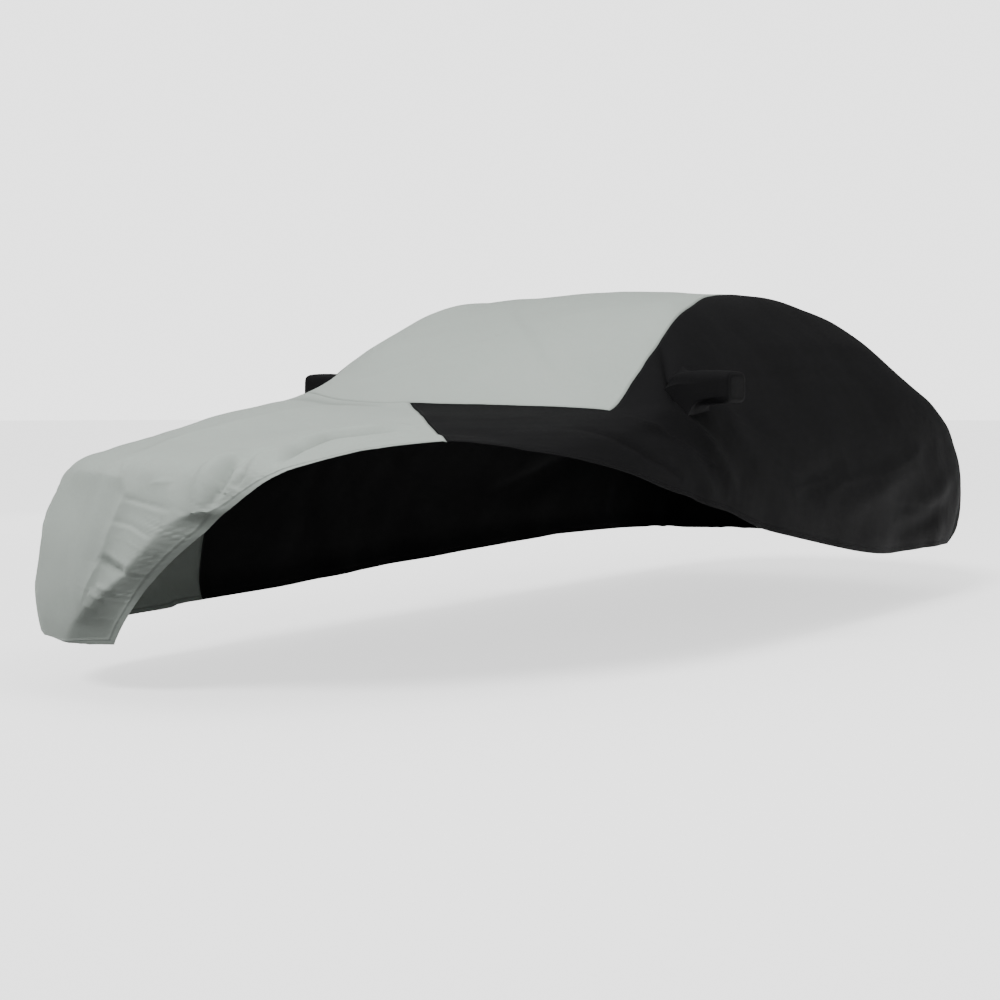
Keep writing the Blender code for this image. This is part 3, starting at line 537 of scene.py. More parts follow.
def hem_height(inside):
    """The turned-up hem: two layers of cloth, with a stitched line near its inner edge."""
    lift = HEM_LIFT * np.clip((HEM_WIDTH + HEM_STEP - inside) / HEM_STEP, 0.0, 1.0)
    dent = HEM_DENT * bell(inside - HEM_STITCH_INSET, HEM_DENT_WIDTH)
    return lift - dent


def taut(inside):
    """How freely folds rise inside the drawn edge: 1 is free."""
    share = np.clip(inside / TAUT_REACH, 0.0, 1.0)
    return TAUT_FREEDOM + (1.0 - TAUT_FREEDOM) * share**2 * (3.0 - 2.0 * share)


def tuck_depth(along, across):
    """How far the level hems are drawn in."""
    depth = np.zeros_like(along)
    for inside, share in ((across + level_hem(along), RIGHT_TUCK), (level_hem(along) - across, LEFT_TUCK),
                          (along, FRONT_TUCK), (REAR_HEM - along, REAR_TUCK)):
        near = np.clip(1.0 - inside / TUCK_REACH, 0.0, 1.0)
        depth = np.maximum(depth, TUCK_DEPTH * share * near**2)
    return depth


def seam_height(distance):
    """The dip at a seam, between the soft swell of its two allowances."""
    return SWELL_HEIGHT * bell(distance - SWELL_INSET, SWELL_WIDTH) - SEAM_DEPTH * bell(distance, SEAM_WIDTH)


def seam_shade(along, across):
    """How much painted shade darkens each place in a stitched groove or at the bottom of a crease, from 0 to
    1.
    """
    hem, _ = edge_distances(along, across)
    shade = bell(hem - HEM_STITCH_INSET, SHADE_WIDTH)
    shade = np.maximum(shade, bell(seam_distance(along, across), SHADE_WIDTH))
    for crease in CREASES:
        if crease.height < 0.0:
            share = crease_height(crease, along, across) / crease.height
            shade = np.maximum(shade, share**2 * min(1.0, -crease.height / SHADED_DEPTH))
    return shade


def raise_form(along, across, height):
    return plain_form(along, across) + facing(plain_form, along, across) * height[:, None]


def cloth_form(along, across):
    """Points of the cloth's outer face with its main folds alone."""
    height = wave_height(along, across) - turned_depth(along, across)
    for fold in FOLDS:
        height += fold_height(fold, along, across)
    return raise_form(along, across, height)


def cloth_surface(along, across):
    """Points of the cloth's outer face with everything that shows on it."""
    hem, drawn = edge_distances(along, across)
    height = wave_height(along, across) - turned_depth(along, across) + ripple_height(along, across)
    for fold in FOLDS:
        height += fold_height(fold, along, across)
    wrinkles = gather_height(along, across, drawn)
    for crease in CREASES:
        wrinkles += crease_height(crease, along, across)
    height += wrinkles * taut(drawn) + hem_height(hem) - tuck_depth(along, across)
    height += seam_height(seam_distance(along, across))
    return raise_form(along, across, height)


# ------------------------------------------------------------- cutting the panels

# The most of a narrow panel's width that the close lines at one side take up.
BAND_SHARE = 0.42
MERGE_DISTANCE = 0.0004
SLIVER_AREA = 1e-9
SMOOTH_ANGLE = 55.0
# Metres between a panel's rows.
NOSE_STEP = 0.0066
POINT_STEP = 0.010
BONNET_STEP = 0.013
TOP_STEP = 0.0145
SIDE_STEP = 0.014
QUARTER_STEP = 0.0155
NOSE_TOP = 0.86
# Cells across each panel, or each part of one.
FRONT_RIGHT_CELLS, FRONT_LEFT_CELLS = 66, 112
TOP_CELLS, REAR_CELLS = 76, 72
WING_CELLS, ABOVE_MOUTH_CELLS, MOUTH_CELLS, BELOW_MOUTH_CELLS = 34, 12, 18, 42


def spaced(start, stop, step, band_0=(), band_1=()):
    """Places from start up to stop, without stop: close together in the bands at its ends."""
    lead = [start] + [start + inset for inset in band_0]
    tail = [stop - inset for inset in reversed(band_1)] + [stop]
    cells = max(1, round((tail[0] - lead[-1]) / (step * GRID_COARSENESS)))
    middle = np.linspace(lead[-1], tail[0], cells + 1)[1:-1]
    return lead + list(middle) + tail[:-1]


def lines_between(line_0, line_1, cells, band_0=(), band_1=(), stretch_0=1.0, stretch_1=1.0):
    """Lines from line_0 up to line_1, without line_1, close together in the bands at its sides."""
    width = line_1 - line_0
    room = BAND_SHARE * np.abs(width)
    lead = [line_0] + [line_0 + np.minimum(inset * stretch_0, room * inset / band_0[-1]) for inset in band_0]
    tail = [line_1 - np.minimum(inset * stretch_1, room * inset / band_1[-1]) for inset in reversed(band_1)]
    tail.append(line_1)
    cells = max(1, cells // GRID_COARSENESS)
    middle = [lead[-1] + (tail[0] - lead[-1]) * share for share in np.linspace(0.0, 1.0, cells + 1)[1:-1]]
    return lead + middle + tail[:-1]


def apply_modifier(piece, name):
    bpy.ops.object.select_all(action="DESELECT")
    bpy.context.view_layer.objects.active = piece
    piece.select_set(True)
    bpy.ops.object.modifier_apply(modifier=name)


def thicken(piece):
    """Give a skin of cloth its thickness, inwards."""
    wall = piece.modifiers.new("cloth_thickness", "SOLIDIFY")
    wall.thickness = CLOTH_THICKNESS
    wall.offset = -1.0
    apply_modifier(piece, wall.name)
    bpy.ops.object.shade_smooth_by_angle(angle=np.radians(SMOOTH_ANGLE))


@contextmanager
def opened(mesh):
    """A mesh opened for edits to its faces, and written back."""
    skin = bmesh.new()
    skin.from_mesh(mesh)
    yield skin
    skin.to_mesh(mesh)
    skin.free()


def add_object(name, data):
    added = bpy.data.objects.new(name, data)
    bpy.context.scene.collection.objects.link(added)
    return added


def lay_grid(name, columns, rows):
    """A flat grid of so many places across and along."""
    bpy.ops.object.select_all(action="DESELECT")
    bpy.ops.mesh.primitive_grid_add(x_subdivisions=columns - 1, y_subdivisions=rows - 1, size=1.0)
    piece = bpy.context.object
    piece.name = name
    piece.data.name = name
    return piece


def move_grid(piece, points, flat):
    """Move a grid's places to their points, and keep their flat places as its UV map."""
    corners = np.zeros(len(piece.data.loops), dtype=int)
    piece.data.loops.foreach_get("vertex_index", corners)
    piece.data.uv_layers.active.data.foreach_set("uv", flat[corners].ravel())
    piece.data.vertices.foreach_set("co", points.ravel())


def cut_and_drape(name, rows, lines, left_out=()):
    """Cut a panel as a flat grid, drape it over the form, and give it its thickness.

    left_out holds blocks of cells (first row, last row, first line, last line)
    that aren't part of the panel, such as a pocket's mouth.
    """
    rows = np.array(rows)
    across = np.stack(lines, axis=1)
    along = np.repeat(rows[:, None], across.shape[1], axis=1)
    flat = np.column_stack([across.ravel(), along.ravel()])
    panel = lay_grid(name, across.shape[1], len(rows))
    move_grid(panel, cloth_surface(flat[:, 1], flat[:, 0]) - ORIGIN, flat)
    # Painted shade: how much each point is painted darker in stitched grooves and crease bottoms.
    shade = panel.data.attributes.new("seam_shade", "FLOAT", "POINT")
    shade.data.foreach_set("value", seam_shade(flat[:, 1], flat[:, 0]))
    cells = across.shape[1] - 1
    with opened(panel.data) as skin:
        skin.faces.ensure_lookup_table()
        gone = []
        for row_0, row_1, line_0, line_1 in left_out:
            for row in range(row_0, row_1):
                gone += [skin.faces[row * cells + line] for line in range(line_0, line_1)]
        bmesh.ops.delete(skin, geom=gone, context="FACES")
        bmesh.ops.remove_doubles(skin, verts=skin.verts, dist=MERGE_DISTANCE)
        slivers = [face for face in skin.faces if face.calc_area() < SLIVER_AREA]
        bmesh.ops.delete(skin, geom=slivers, context="FACES_ONLY")
    thicken(panel)
    return panel


def nearest_row(rows, place):
    return int(np.argmin(np.abs(np.array(rows) - place)))


def cut_front_panel():
    """The nose, with all that lies in front of the top panel, and the right front corner."""
    rows = (spaced(0.0, NOSE_TOP, NOSE_STEP, band_0=HEM_BAND) + spaced(NOSE_TOP, LEFT_POINT, POINT_STEP)
            + spaced(LEFT_POINT, RIGHT_POINT, BONNET_STEP)
            + spaced(RIGHT_POINT, SCREEN_FOOT, BONNET_STEP, band_1=SEAM_BAND) + [SCREEN_FOOT])
    along = np.array(rows)
    right = np.where(along < RIGHT_POINT, right_hem(along), right_seam(along))
    middle = np.full_like(along, -EDGE)
    left = np.where(along < LEFT_POINT, drawn_edge(along), diagonal_seam(along))
    slant = np.where(along < LEFT_POINT, stretch(drawn_edge, along), DIAGONAL_SLANT)
    lines = lines_between(right, middle, FRONT_RIGHT_CELLS, band_0=HEM_BAND)
    lines += lines_between(middle, left, FRONT_LEFT_CELLS, band_1=HEM_BAND, stretch_1=slant)
    return cut_and_drape("front_cloth", rows, lines + [left])


def cut_strip(name, rows, cells):
    """A strip between the two side panels: the long top, or the tail down to its hem."""
    seam = side_seam(np.array(rows))
    return cut_and_drape(name, rows, lines_between(-seam, seam, cells, SEAM_BAND, SEAM_BAND) + [seam])


def cut_side_panel(name, first, mouth, side):
    """A black side panel, from its point in front to the rear hem."""
    rows = (spaced(first, SCREEN_FOOT, SIDE_STEP, band_1=SEAM_BAND)
            + spaced(SCREEN_FOOT, mouth.front, SIDE_STEP, SEAM_BAND)
            + spaced(mouth.front, mouth.back, SIDE_STEP)
            + spaced(mouth.back, REAR_HEM, QUARTER_STEP, band_1=HEM_BAND) + [REAR_HEM])
    along = np.array(rows)
    if side > 0.0:
        seam = left_inner_line(along)
        hem = left_edge(along)
        slant = stretch(left_edge, along)
    else:
        seam = -right_seam(along)
        hem = level_hem(along)
        slant = 1.0
    top = seam + (hem - seam) * mouth.top
    bottom = seam + (hem - seam) * mouth.bottom
    lines = lines_between(seam, top, ABOVE_MOUTH_CELLS, band_0=SEAM_BAND)
    first_line = len(lines)
    lines += lines_between(top, bottom, MOUTH_CELLS)
    last_line = len(lines)
    lines += lines_between(bottom, hem, BELOW_MOUTH_CELLS, band_1=HEM_BAND, stretch_1=slant)
    lines.append(hem)
    front_row = nearest_row(rows, mouth.front)
    back_row = nearest_row(rows, mouth.back)
    if side > 0.0:
        seam_line = np.where(along > SCREEN_FOOT, seam, diagonal_seam(along))
        wing = lines_between(seam_line, seam, WING_CELLS, SEAM_BAND, stretch_0=DIAGONAL_SLANT)
        lines = wing + lines
        columns = (len(wing) + first_line, len(wing) + last_line)
        left_out = [(nearest_row(rows, SCREEN_FOOT), len(rows) - 1, 0, len(wing))]
    else:
        lines = [-line for line in reversed(lines)]
        columns = (len(lines) - 1 - last_line, len(lines) - 1 - first_line)
        left_out = []
    panel = cut_and_drape(name, rows, lines, left_out + [(front_row, back_row, *columns)])
    grid = np.stack([np.repeat(along[:, None], len(lines), axis=1), np.stack(lines, axis=1)], axis=2)
    block = grid[front_row:back_row + 1, columns[0]:columns[1] + 1]
    loop = np.concatenate([block[0, :-1], block[:-1, -1], block[-1, :0:-1], block[:0:-1, 0]])
    return panel, loop


# ------------------------------------------------------------- mirror pockets

POCKET_TIP = np.array([1.068, 1.00, 1.075])
RIGHT_POCKET_TIP_IN = 0.018
POCKET_TIP_HALF_LENGTH = 0.080
POCKET_TIP_HALF_HEIGHT = 0.062
POCKET_SQUARENESS = 5
POCKET_REACH = 0.16
# The cloth is a little loose between a pocket's mouth and its tip.
POCKET_SLACK = 0.004
SLACK_TURN_AROUND = 0.55
SLACK_TURN_OUTWARDS = 0.4
POCKET_MERGE_DISTANCE = 0.0001
POCKET_FACE_DEPTH = 0.02
# Rings of a pocket, as shares of the way from its mouth to its tip: in outline
# and outwards. Past the tip's outline the rings close its face.
Ring = namedtuple("Ring", "outline outwards")
POCKET_RINGS = (
    Ring(0.0, 0.0), Ring(0.06, 0.006), Ring(0.22, 0.03), Ring(0.46, 0.08), Ring(0.68, 0.15), Ring(0.84, 0.24),
    Ring(0.93, 0.36), Ring(0.97, 0.50), Ring(0.99, 0.64), Ring(1.0, 0.77), Ring(1.0, 0.87), Ring(1.02, 0.93),
    Ring(1.07, 0.972), Ring(1.16, 0.995), Ring(1.35, 1.0), Ring(1.9, 1.003), Ring(3.6, 1.004),
)


def sew_pocket(name, loop, side):
    """A mirror pocket sewn on around its mouth: rings of cloth out to a boxy tip."""
    along = loop[:, 0]
    across = loop[:, 1]
    mouth = cloth_surface(along, across)
    tip = POCKET_TIP * (side, 1.0, 1.0)
    tip[0] += RIGHT_POCKET_TIP_IN if side < 0.0 else 0.0
    spread = (mouth - mouth.mean(axis=0))[:, 1:]
    spread = spread / np.abs(spread).max(axis=0)
    spread = spread / (np.abs(spread) ** POCKET_SQUARENESS).sum(axis=1)[:, None] ** (1 / POCKET_SQUARENESS)
    outline = tip + np.column_stack([
        np.zeros(len(mouth)),
        spread[:, 0] * POCKET_TIP_HALF_LENGTH,
        spread[:, 1] * POCKET_TIP_HALF_HEIGHT,
    ])
    rings = []
    around = np.arange(len(mouth) + 1) % len(mouth)
    for step, ring in enumerate(POCKET_RINGS):
        points = mouth + (outline - mouth) * min(ring.outline, 1.0)
        points[:, 1:] = tip[1:] + (points[:, 1:] - tip[1:]) / max(ring.outline, 1.0)
        points[:, 0] = mouth[:, 0] + (tip[0] - mouth[:, 0]) * ring.outwards
        wave = np.sin(np.arange(len(mouth)) * SLACK_TURN_AROUND + step * SLACK_TURN_OUTWARDS)
        points[:, 2] += POCKET_SLACK * np.sin(np.pi * min(ring.outwards, 1.0)) * wave
        rings.append((points - ORIGIN)[around])
    flat = np.column_stack([
        np.tile(np.linspace(0.0, 1.0, len(around)), len(POCKET_RINGS)),
        np.repeat([POCKET_REACH * ring.outwards for ring in POCKET_RINGS], len(around)),
    ])
    pocket = lay_grid(name, len(around), len(POCKET_RINGS))
    move_grid(pocket, np.concatenate(rings), flat)
    with opened(pocket.data) as skin:
        bmesh.ops.remove_doubles(skin, verts=skin.verts, dist=POCKET_MERGE_DISTANCE)
        holes = [edge for edge in skin.edges if edge.is_boundary]
        tip_edges = [edge for edge in holes if abs(edge.verts[0].co.x) > abs(tip[0]) - POCKET_FACE_DEPTH]
        bmesh.ops.holes_fill(skin, edges=tip_edges)
        bmesh.ops.recalc_face_normals(skin, faces=skin.faces)
        outermost = max(skin.faces, key=lambda face: face.calc_center_median().x * side)
        if outermost.normal.x * side < 0.0:
            bmesh.ops.reverse_faces(skin, faces=skin.faces)
    thicken(pocket)
    return pocket


# ------------------------------------------------------------------ stitching

STITCH_PITCH = 0.0052
STITCH_LENGTH = 0.0040
STITCH_HALF_WIDTH = 0.0005
# Stitches lie in the cloth, with both ends a little lower than the middle.
STITCH_LIFT = 0.0003
STITCH_DIP = 0.0004
STITCH_END_GAP = 0.02
# Rows of stitches stop one gap or more before the seams that they meet.
SEAM_GAP = 0.01
REAR_SEAM = SIDE_SEAM[-1][1]
BOOT_ROW_END = 0.45


def sew_line(name, lines):
    """One row of stitches along each line of places, as one piece of thread."""
    centres = []
    directions = []
    outwards = []
    for along, across in lines:
        points = cloth_surface(along, across)
        travelled = np.concatenate([[0.0], np.cumsum(np.linalg.norm(np.diff(points, axis=0), axis=1))])
        places = np.arange(STITCH_PITCH, travelled[-1] - STITCH_PITCH, STITCH_PITCH * STITCH_COARSENESS)
        stitch_along = np.interp(places, travelled, along)
        stitch_across = np.interp(places, travelled, across)
        middle = cloth_surface(stitch_along, stitch_across)
        ahead = np.gradient(middle, axis=0)
        centres.append(middle)
        directions.append(ahead / np.linalg.norm(ahead, axis=1)[:, None])
        outwards.append(facing(cloth_form, stitch_along, stitch_across))
    centres = np.concatenate(centres) - ORIGIN
    directions = np.concatenate(directions)
    outwards = np.concatenate(outwards)
    sideways = np.cross(outwards, directions)
    centres = centres + outwards * STITCH_LIFT
    half = STITCH_LENGTH / 2.0
    corners = np.stack([
        centres - directions * half - outwards * STITCH_DIP,
        centres + sideways * STITCH_HALF_WIDTH,
        centres + outwards * STITCH_HALF_WIDTH,
        centres - sideways * STITCH_HALF_WIDTH,
        centres - outwards * STITCH_HALF_WIDTH,
        centres + directions * half - outwards * STITCH_DIP,
    ], axis=1)
    faces = []
    for i in range(len(centres)):
        first = 6 * i
        for a, b in ((1, 2), (2, 3), (3, 4), (4, 1)):
            faces.append((first, first + b, first + a))
            faces.append((first + 5, first + a, first + b))
    mesh = bpy.data.meshes.new(name)
    mesh.from_pydata(corners.reshape(-1, 3).tolist(), [], faces)
    with opened(mesh) as skin:
        bmesh.ops.recalc_face_normals(skin, faces=skin.faces)
    mesh.shade_smooth()
    return add_object(name, mesh)


def beside(line, first, last, count, inset, slanting=False):
    """A row inset to the right of a line along the cover, or to its left where inset is negative."""
    along = np.linspace(first, last, count)
    if slanting:
        inset = inset * stretch(line, along)
    return along, line(along) - inset


def crosswise(along, first, last, count=300):
    """A row straight across the cover."""
    across = np.linspace(first, last, count)
    return np.full_like(across, along), across


def stitch_rows():
    """Every row of stitches, by the cloth that it is sewn into."""
    hem = HEM_STITCH_INSET
    seam = SEAM_STITCH_INSET
    diagonal = seam * DIAGONAL_SLANT
    gap = SEAM_GAP
    foot = SCREEN_FOOT
    nose_end = STITCH_END_GAP
    rear_end = REAR_HEM - STITCH_END_GAP
    return {
        "front_cloth": [
            beside(drawn_edge, nose_end, LEFT_POINT - gap, 500, hem, slanting=True),
            beside(right_hem, nose_end, RIGHT_POINT, 500, -hem),
            crosswise(hem, right_hem(0.0) + STITCH_END_GAP, drawn_edge(0.0) - STITCH_END_GAP, 400),
            beside(diagonal_seam, LEFT_POINT + 2 * gap, foot - seam, 500, diagonal),
            beside(right_seam, RIGHT_POINT + gap, foot - gap, 500, -seam, slanting=True),
        ],
        "top_cloth": [
            beside(side_seam, foot + seam, BOOT_FRONT - seam, 900, seam),
            beside(right_seam, foot + seam, BOOT_FRONT - seam, 900, -seam),
            crosswise(foot + seam, -EDGE + gap, EDGE - gap),
            crosswise(BOOT_FRONT - seam, -BOOT_ROW_END, BOOT_ROW_END),
        ],
        "rear_cloth": [
            beside(side_seam, BOOT_FRONT + seam, rear_end, 500, seam),
            beside(right_seam, BOOT_FRONT + seam, rear_end, 500, -seam),
            crosswise(REAR_HEM - hem, -REAR_SEAM + gap, REAR_SEAM - gap),
        ],
        "left_cloth": [
            beside(left_edge, LEFT_POINT + 3 * gap, rear_end, 1200, hem, slanting=True),
            beside(diagonal_seam, LEFT_POINT + 5 * gap, foot - seam, 500, -diagonal),
            crosswise(foot - seam, gap, EDGE - gap),
            beside(side_seam, foot + seam, rear_end, 1000, -seam),
            crosswise(REAR_HEM - hem, REAR_SEAM + gap, left_edge(REAR_HEM) - STITCH_END_GAP),
        ],
        "right_cloth": [
            beside(right_hem, RIGHT_POINT + 3 * gap, rear_end, 1200, -hem),
            beside(right_seam, RIGHT_POINT + 3 * gap, foot, 500, seam, slanting=True),
            beside(right_seam, foot + seam, rear_end, 1000, seam),
            crosswise(REAR_HEM - hem, right_hem(REAR_HEM) + STITCH_END_GAP, -REAR_SEAM - gap),
        ],
    }


# ------------------------------------------------------------------ materials

def math_node(operation, swapped=False):
    """A method that writes one sum between sockets and numbers as a Math node."""
    def add(socket, other):
        first, second = (other, socket) if swapped else (socket, other)
        return socket.cloth.node("ShaderNodeMath", {"operation": operation}, {0: first, 1: second})
    return add


class Socket:
    """A shader socket that can be used in Python sums: each sum adds a Math node."""

    def __init__(self, cloth, link):
        self.cloth = cloth
        self.link = link

    __add__ = math_node("ADD")
    __radd__ = math_node("ADD", swapped=True)
    __sub__ = math_node("SUBTRACT")
    __rsub__ = math_node("SUBTRACT", swapped=True)
    __mul__ = math_node("MULTIPLY")
    __rmul__ = math_node("MULTIPLY", swapped=True)
    __truediv__ = math_node("DIVIDE")
    __pow__ = math_node("POWER")


class Shading:
    """A node tree being wired: nodes are added by type."""

    def __init__(self, tree):
        self.tree = tree

    def node(self, kind, settings=None, values=None, output=0):
        added = self.tree.nodes.new(kind)
        for key, value in (settings or {}).items():
            setattr(added, key, value)
        for key, value in (values or {}).items():
            self.feed(added.inputs[key], value)
        return Socket(self, added.outputs[output])

    def feed(self, socket, value):
        if isinstance(value, Socket):
            self.tree.links.new(value.link, socket)
        else:
            socket.default_value = value


class Finish(Shading):
    """A material being mixed, with its Principled surface."""

    def __init__(self, name):
        self.material = bpy.data.materials.new(name)
        self.material.use_nodes = True
        super().__init__(self.material.node_tree)
        self.surface = self.tree.nodes["Principled BSDF"]

    def set(self, **values):
        for key, value in values.items():
            self.feed(self.surface.inputs[key.replace("_", " ")], value)


WEAVE_PITCH = 0.0016
# Rows of bumps sit closer than the bumps in a row, each row moved by half a bump.
WEAVE_ROW = 0.00138


def weave(finish):
    """Height of a weave of small staggered bumps, from 0 between them to 1 on top."""
    cloth = finish.node("ShaderNodeUVMap", {"uv_map": "UVMap"})
    apart = finish.node("ShaderNodeSeparateXYZ", None, {0: cloth}, 0)
    along = finish.node("ShaderNodeSeparateXYZ", None, {0: cloth}, 1)
    row = along / WEAVE_ROW
    row_number = finish.node("ShaderNodeMath", {"operation": "FLOOR"}, {0: row})
    odd = finish.node("ShaderNodeMath", {"operation": "PINGPONG"}, {0: row_number, 1: 1.0})
    column = apart / WEAVE_PITCH + odd * 0.5
    x = finish.node("ShaderNodeMath", {"operation": "FRACT"}, {0: column}) - 0.5
    y = finish.node("ShaderNodeMath", {"operation": "FRACT"}, {0: row}) - 0.5
    distance = (x * x + y * y) * 4.0
    return finish.node("ShaderNodeMath", {"operation": "SUBTRACT", "use_clamp": True}, {0: 1.0, 1: distance})


def patchy(finish, scale, detail=3.0):
    """Soft patches over the whole piece, around 0.5."""
    place = finish.node("ShaderNodeTexCoord", None, None, 3)
    return finish.node("ShaderNodeTexNoise", {"noise_dimensions": "3D"},
                       {"Vector": place, "Scale": scale, "Detail": detail, "Roughness": 0.55})


def blend_colours(finish, share, first, second):
    """The first colour where share is 0 and the second where it is 1."""
    return finish.node("ShaderNodeMix", {"data_type": "RGBA", "blend_type": "MIX", "clamp_factor": True},
                       {0: share, 6: first, 7: second}, 2)


GROOVE_SHADE = 0.38
FADE_SCALE = 2.2
FADE_START = 0.42
FADE_RATE = 1.6
GRAIN_SCALE = 90.0
GRAIN_SHADE = 0.14
UNEVEN_SCALE = 38.0


def woven_cloth(name, ground, thread, worn, roughness, sheen, fuzz, gloss, unevenness):
    """Woven cover cloth: thread bumps with painted light on their tops and painted shade on the darker ground
    between them, slightly faded in patches, and darkened by painted shade in stitched grooves and crease
    bottoms.
    """
    finish = Finish(name)
    bumps = weave(finish)
    fade = patchy(finish, FADE_SCALE)
    grain = patchy(finish, GRAIN_SCALE, 2.0)
    # Painted light and shade on the weave: the lighter colour on the bumps' tops, the darker one on the ground
    # between them.
    clean = blend_colours(finish, bumps ** 0.7, ground, thread)
    colour = blend_colours(finish, (fade - FADE_START) * FADE_RATE, clean, worn)
    # Random grain in tone, and painted shade from the seam_shade attribute that darkens stitched grooves and
    # crease bottoms.
    painted_groove_shade = finish.node("ShaderNodeAttribute", {"attribute_name": "seam_shade"}, None, 2)
    brightness = (1.0 - GRAIN_SHADE / 2.0 + grain * GRAIN_SHADE) * (1.0 - painted_groove_shade * GROOVE_SHADE)
    slub_and_groove_shade = finish.node("ShaderNodeHueSaturation", None, {"Value": brightness, "Color": colour})
    relief = finish.node("ShaderNodeBump", None, {"Strength": 0.35, "Distance": 0.0004, "Height": bumps})
    soft = finish.node("ShaderNodeBump", None,
                       {"Strength": 0.25, "Distance": unevenness, "Height": patchy(finish, UNEVEN_SCALE),
                        "Normal": relief})
    finish.set(Base_Color=slub_and_groove_shade, Roughness=roughness + grain * 0.08, Normal=soft, Metallic=0.0,
               Sheen_Weight=sheen, Sheen_Roughness=0.5, Sheen_Tint=fuzz, Specular_IOR_Level=gloss)
    return finish.material


def sewing_thread(name, colour, shade):
    """Twisted polyester thread, with painted shade in noise patches that stand for the hollows of the twist.
    """
    finish = Finish(name)
    twist = patchy(finish, 700.0, 1.0)
    finish.set(Base_Color=blend_colours(finish, twist, colour, shade), Roughness=0.55 + twist * 0.15,
               Sheen_Weight=0.1)
    return finish.material


# Each weave: painted shade on the ground between the bumps, painted light on the thread tops, and the colour
# of faded patches.
GREY_SHADED_GROUND = (0.285, 0.322, 0.294, 1.0)
GREY_LIT_THREAD = (0.490, 0.542, 0.500, 1.0)
GREY_WORN = (0.405, 0.447, 0.412, 1.0)
BLACK_SHADED_GROUND = (0.0050, 0.0050, 0.0053, 1.0)
BLACK_LIT_THREAD = (0.0120, 0.0120, 0.0126, 1.0)
BLACK_WORN = (0.0105, 0.0105, 0.0110, 1.0)
# Thread: its colour, and a darker colour painted as shade in the hollows of the twist.
GREY_STITCH = ((0.34, 0.36, 0.34, 1.0), (0.24, 0.26, 0.24, 1.0))
BLACK_STITCH = ((0.012, 0.012, 0.013, 1.0), (0.006, 0.006, 0.007, 1.0))


def dress(piece, material):
    piece.data.materials.clear()
    piece.data.materials.append(material)
    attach(piece, "root")


# ------------------------------------------------------- floor, light, camera

FLOOR_GLOW = 1.3


def lay_floor():
    """A plain pale floor, level with the ground under the cover."""
    bpy.ops.object.select_all(action="DESELECT")
    bpy.ops.mesh.primitive_circle_add(vertices=96, radius=60.0, fill_type="NGON",
                                      location=(0.0, 0.0, GROUND_Z))
    floor = bpy.context.object
    floor.name = "studio_floor"
    finish = Finish("floor_paint")
    finish.set(Base_Color=(0.90, 0.90, 0.90, 1.0), Roughness=0.85, Emission_Color=(1.0, 1.0, 1.0, 1.0),
               Emission_Strength=FLOOR_GLOW)
    floor.data.materials.append(finish.material)
    # The floor sends no light up, so the inside of the cover stays as dark as in use.
    floor.visible_diffuse = False


# The studio's light comes from high up, and from a wide soft lamp in front.
LIGHT_OVERHEAD = 0.67
LIGHT_AT_HORIZON = 0.22
LIGHT_FROM_BELOW = 0.10
BACKDROP = 2.7
SUN_ENERGY = 2.7
SUN_SOFTNESS = 16.0
SUN_FROM = (0.3, -7.4, 6.7)
SOFTBOXES = (
    ("overhead_softbox", (2.2, -2.6, 3.0), (0.0, -2.2, -0.7), 2.0, 2.0, 92.0),
    ("low_softbox", (-0.8, -7.5, -0.3), (-0.3, -2.9, -0.8), 1.6, 1.0, 22.0),
    ("left_softbox", (6.5, 4.5, 0.6), (0.9, 0.5, -0.4), 3.0, 2.0, 75.0),
    ("right_softbox", (-6.5, 4.5, 0.6), (-0.9, 0.5, -0.4), 3.0, 2.0, 75.0),
)


def aim_light(name, lamp, place, aim):
    """Put a lamp at a place and point it at another."""
    holder = add_object(name, lamp)
    holder.location = place
    direction = np.array(aim) - np.array(place)
    direction = direction / np.linalg.norm(direction)
    yaw = np.arctan2(direction[1], direction[0]) - np.pi / 2.0
    holder.rotation_euler = (np.pi / 2.0 + np.arcsin(direction[2]), 0.0, yaw)


def light_studio():
    """A pale backdrop, light from high up, a wide soft lamp in front, and softboxes."""
    world = bpy.data.worlds.new("studio")
    bpy.context.scene.world = world
    world.use_nodes = True
    studio = Shading(world.node_tree)
    direction = studio.node("ShaderNodeTexCoord")
    up = studio.node("ShaderNodeSeparateXYZ", None, {0: direction}, 2)
    dome = studio.node("ShaderNodeMapRange", {"interpolation_type": "SMOOTHSTEP"},
                       {"Value": up, "From Min": 0.05, "From Max": 0.85, "To Min": LIGHT_AT_HORIZON,
                        "To Max": LIGHT_OVERHEAD})
    above = studio.node("ShaderNodeMapRange", None, {"Value": up, "From Min": -0.06, "From Max": 0.0})
    light = dome * above + (1.0 - above) * LIGHT_FROM_BELOW
    seen = studio.node("ShaderNodeLightPath")
    background = world.node_tree.nodes["Background"]
    background.inputs["Color"].default_value = (1.0, 1.0, 1.0, 1.0)
    studio.feed(background.inputs["Strength"], light + seen * (BACKDROP - light))
    sun = bpy.data.lights.new("front_soft_light", "SUN")
    sun.energy = SUN_ENERGY
    sun.angle = np.radians(SUN_SOFTNESS)
    aim_light("front_soft_light", sun, SUN_FROM, (0.0, 0.0, 0.0))
    for name, place, aim, width, depth, power in SOFTBOXES:
        lamp = bpy.data.lights.new(name, "AREA")
        lamp.shape = "RECTANGLE"
        lamp.size = width
        lamp.size_y = depth
        lamp.energy = power
        aim_light(name, lamp, place, aim)


CAMERA_PLACE = (3.879, -6.651, -0.4685)
CAMERA_TURN = (86.26, 0.0, 35.37)
CAMERA_LENS = 58.35


def place_camera():
    camera = bpy.data.cameras.new("photo_camera")
    camera.lens = CAMERA_LENS
    camera.sensor_width = 36.0
    camera.sensor_fit = "HORIZONTAL"
    camera.clip_end = 200.0
    holder = add_object("photo_camera", camera)
    holder.location = CAMERA_PLACE
    holder.rotation_euler = tuple(np.radians(CAMERA_TURN))
    bpy.context.scene.camera = holder


# ---------------------------------------------------------------- the cover

Cut = namedtuple("Cut", "width length area")


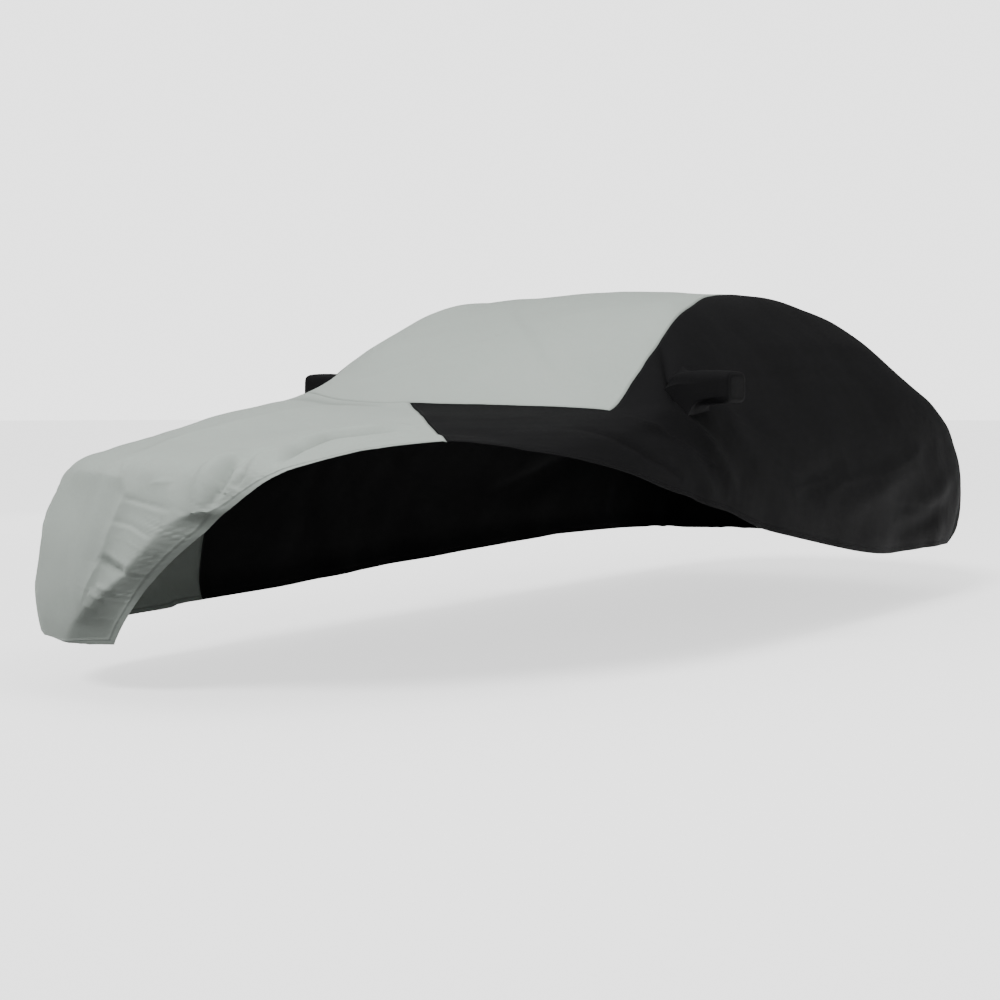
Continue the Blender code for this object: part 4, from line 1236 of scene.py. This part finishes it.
def stand_for(cloth, node, material):
    """Dress a cloth that stands for a node of the part, and hide that node."""
    dress(cloth, material)
    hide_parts(node)


def make_cover():
    place_camera()
    grey = woven_cloth("grey_cover_cloth", GREY_SHADED_GROUND, GREY_LIT_THREAD, GREY_WORN, roughness=0.74, sheen=0.06,
                       fuzz=(0.9, 0.95, 0.9, 1.0), gloss=0.25, unevenness=0.003)
    black = woven_cloth("black_cover_cloth", BLACK_SHADED_GROUND, BLACK_LIT_THREAD, BLACK_WORN, roughness=0.62, sheen=0.0,
                        fuzz=(0.5, 0.5, 0.5, 1.0), gloss=0.03, unevenness=0.001)
    grey_thread = sewing_thread("grey_thread", *GREY_STITCH)
    black_thread = sewing_thread("black_thread", *BLACK_STITCH)
    left, left_loop = cut_side_panel("left_cloth", LEFT_POINT, LEFT_MOUTH, 1.0)
    right, right_loop = cut_side_panel("right_cloth", RIGHT_POINT, RIGHT_MOUTH, -1.0)
    top_rows = spaced(SCREEN_FOOT, BOOT_FRONT, TOP_STEP, SEAM_BAND, SEAM_BAND) + [BOOT_FRONT]
    rear_rows = spaced(BOOT_FRONT, REAR_HEM, BONNET_STEP, SEAM_BAND, HEM_BAND) + [REAR_HEM]
    panels = (
        (cut_front_panel(), "front_panel", grey, grey_thread, "grey_cloth"),
        (cut_strip("top_cloth", top_rows, TOP_CELLS), "top_panel", grey, grey_thread, "grey_cloth"),
        (cut_strip("rear_cloth", rear_rows, REAR_CELLS), "rear_panel", grey, grey_thread, "grey_cloth"),
        (left, "left_panel", black, black_thread, "black_cloth"),
        (right, "right_panel", black, black_thread, "black_cloth"),
    )
    rows = stitch_rows()
    for cloth, node, material, thread, slot_name in panels:
        sewn = sew_line(cloth.name.replace("cloth", "stitching"), rows[cloth.name])
        dress(sewn, thread)
        stand_for(cloth, node, material)
    for name, node, loop, side, carrier in (
        ("left_mirror_cloth", "left_mirror_pocket", left_loop, 1.0, "left_cloth"),
        ("right_mirror_cloth", "right_mirror_pocket", right_loop, -1.0, "right_cloth"),
    ):
        stand_for(sew_pocket(name, loop, side), node, black)


make_cover()
lay_floor()
light_studio()
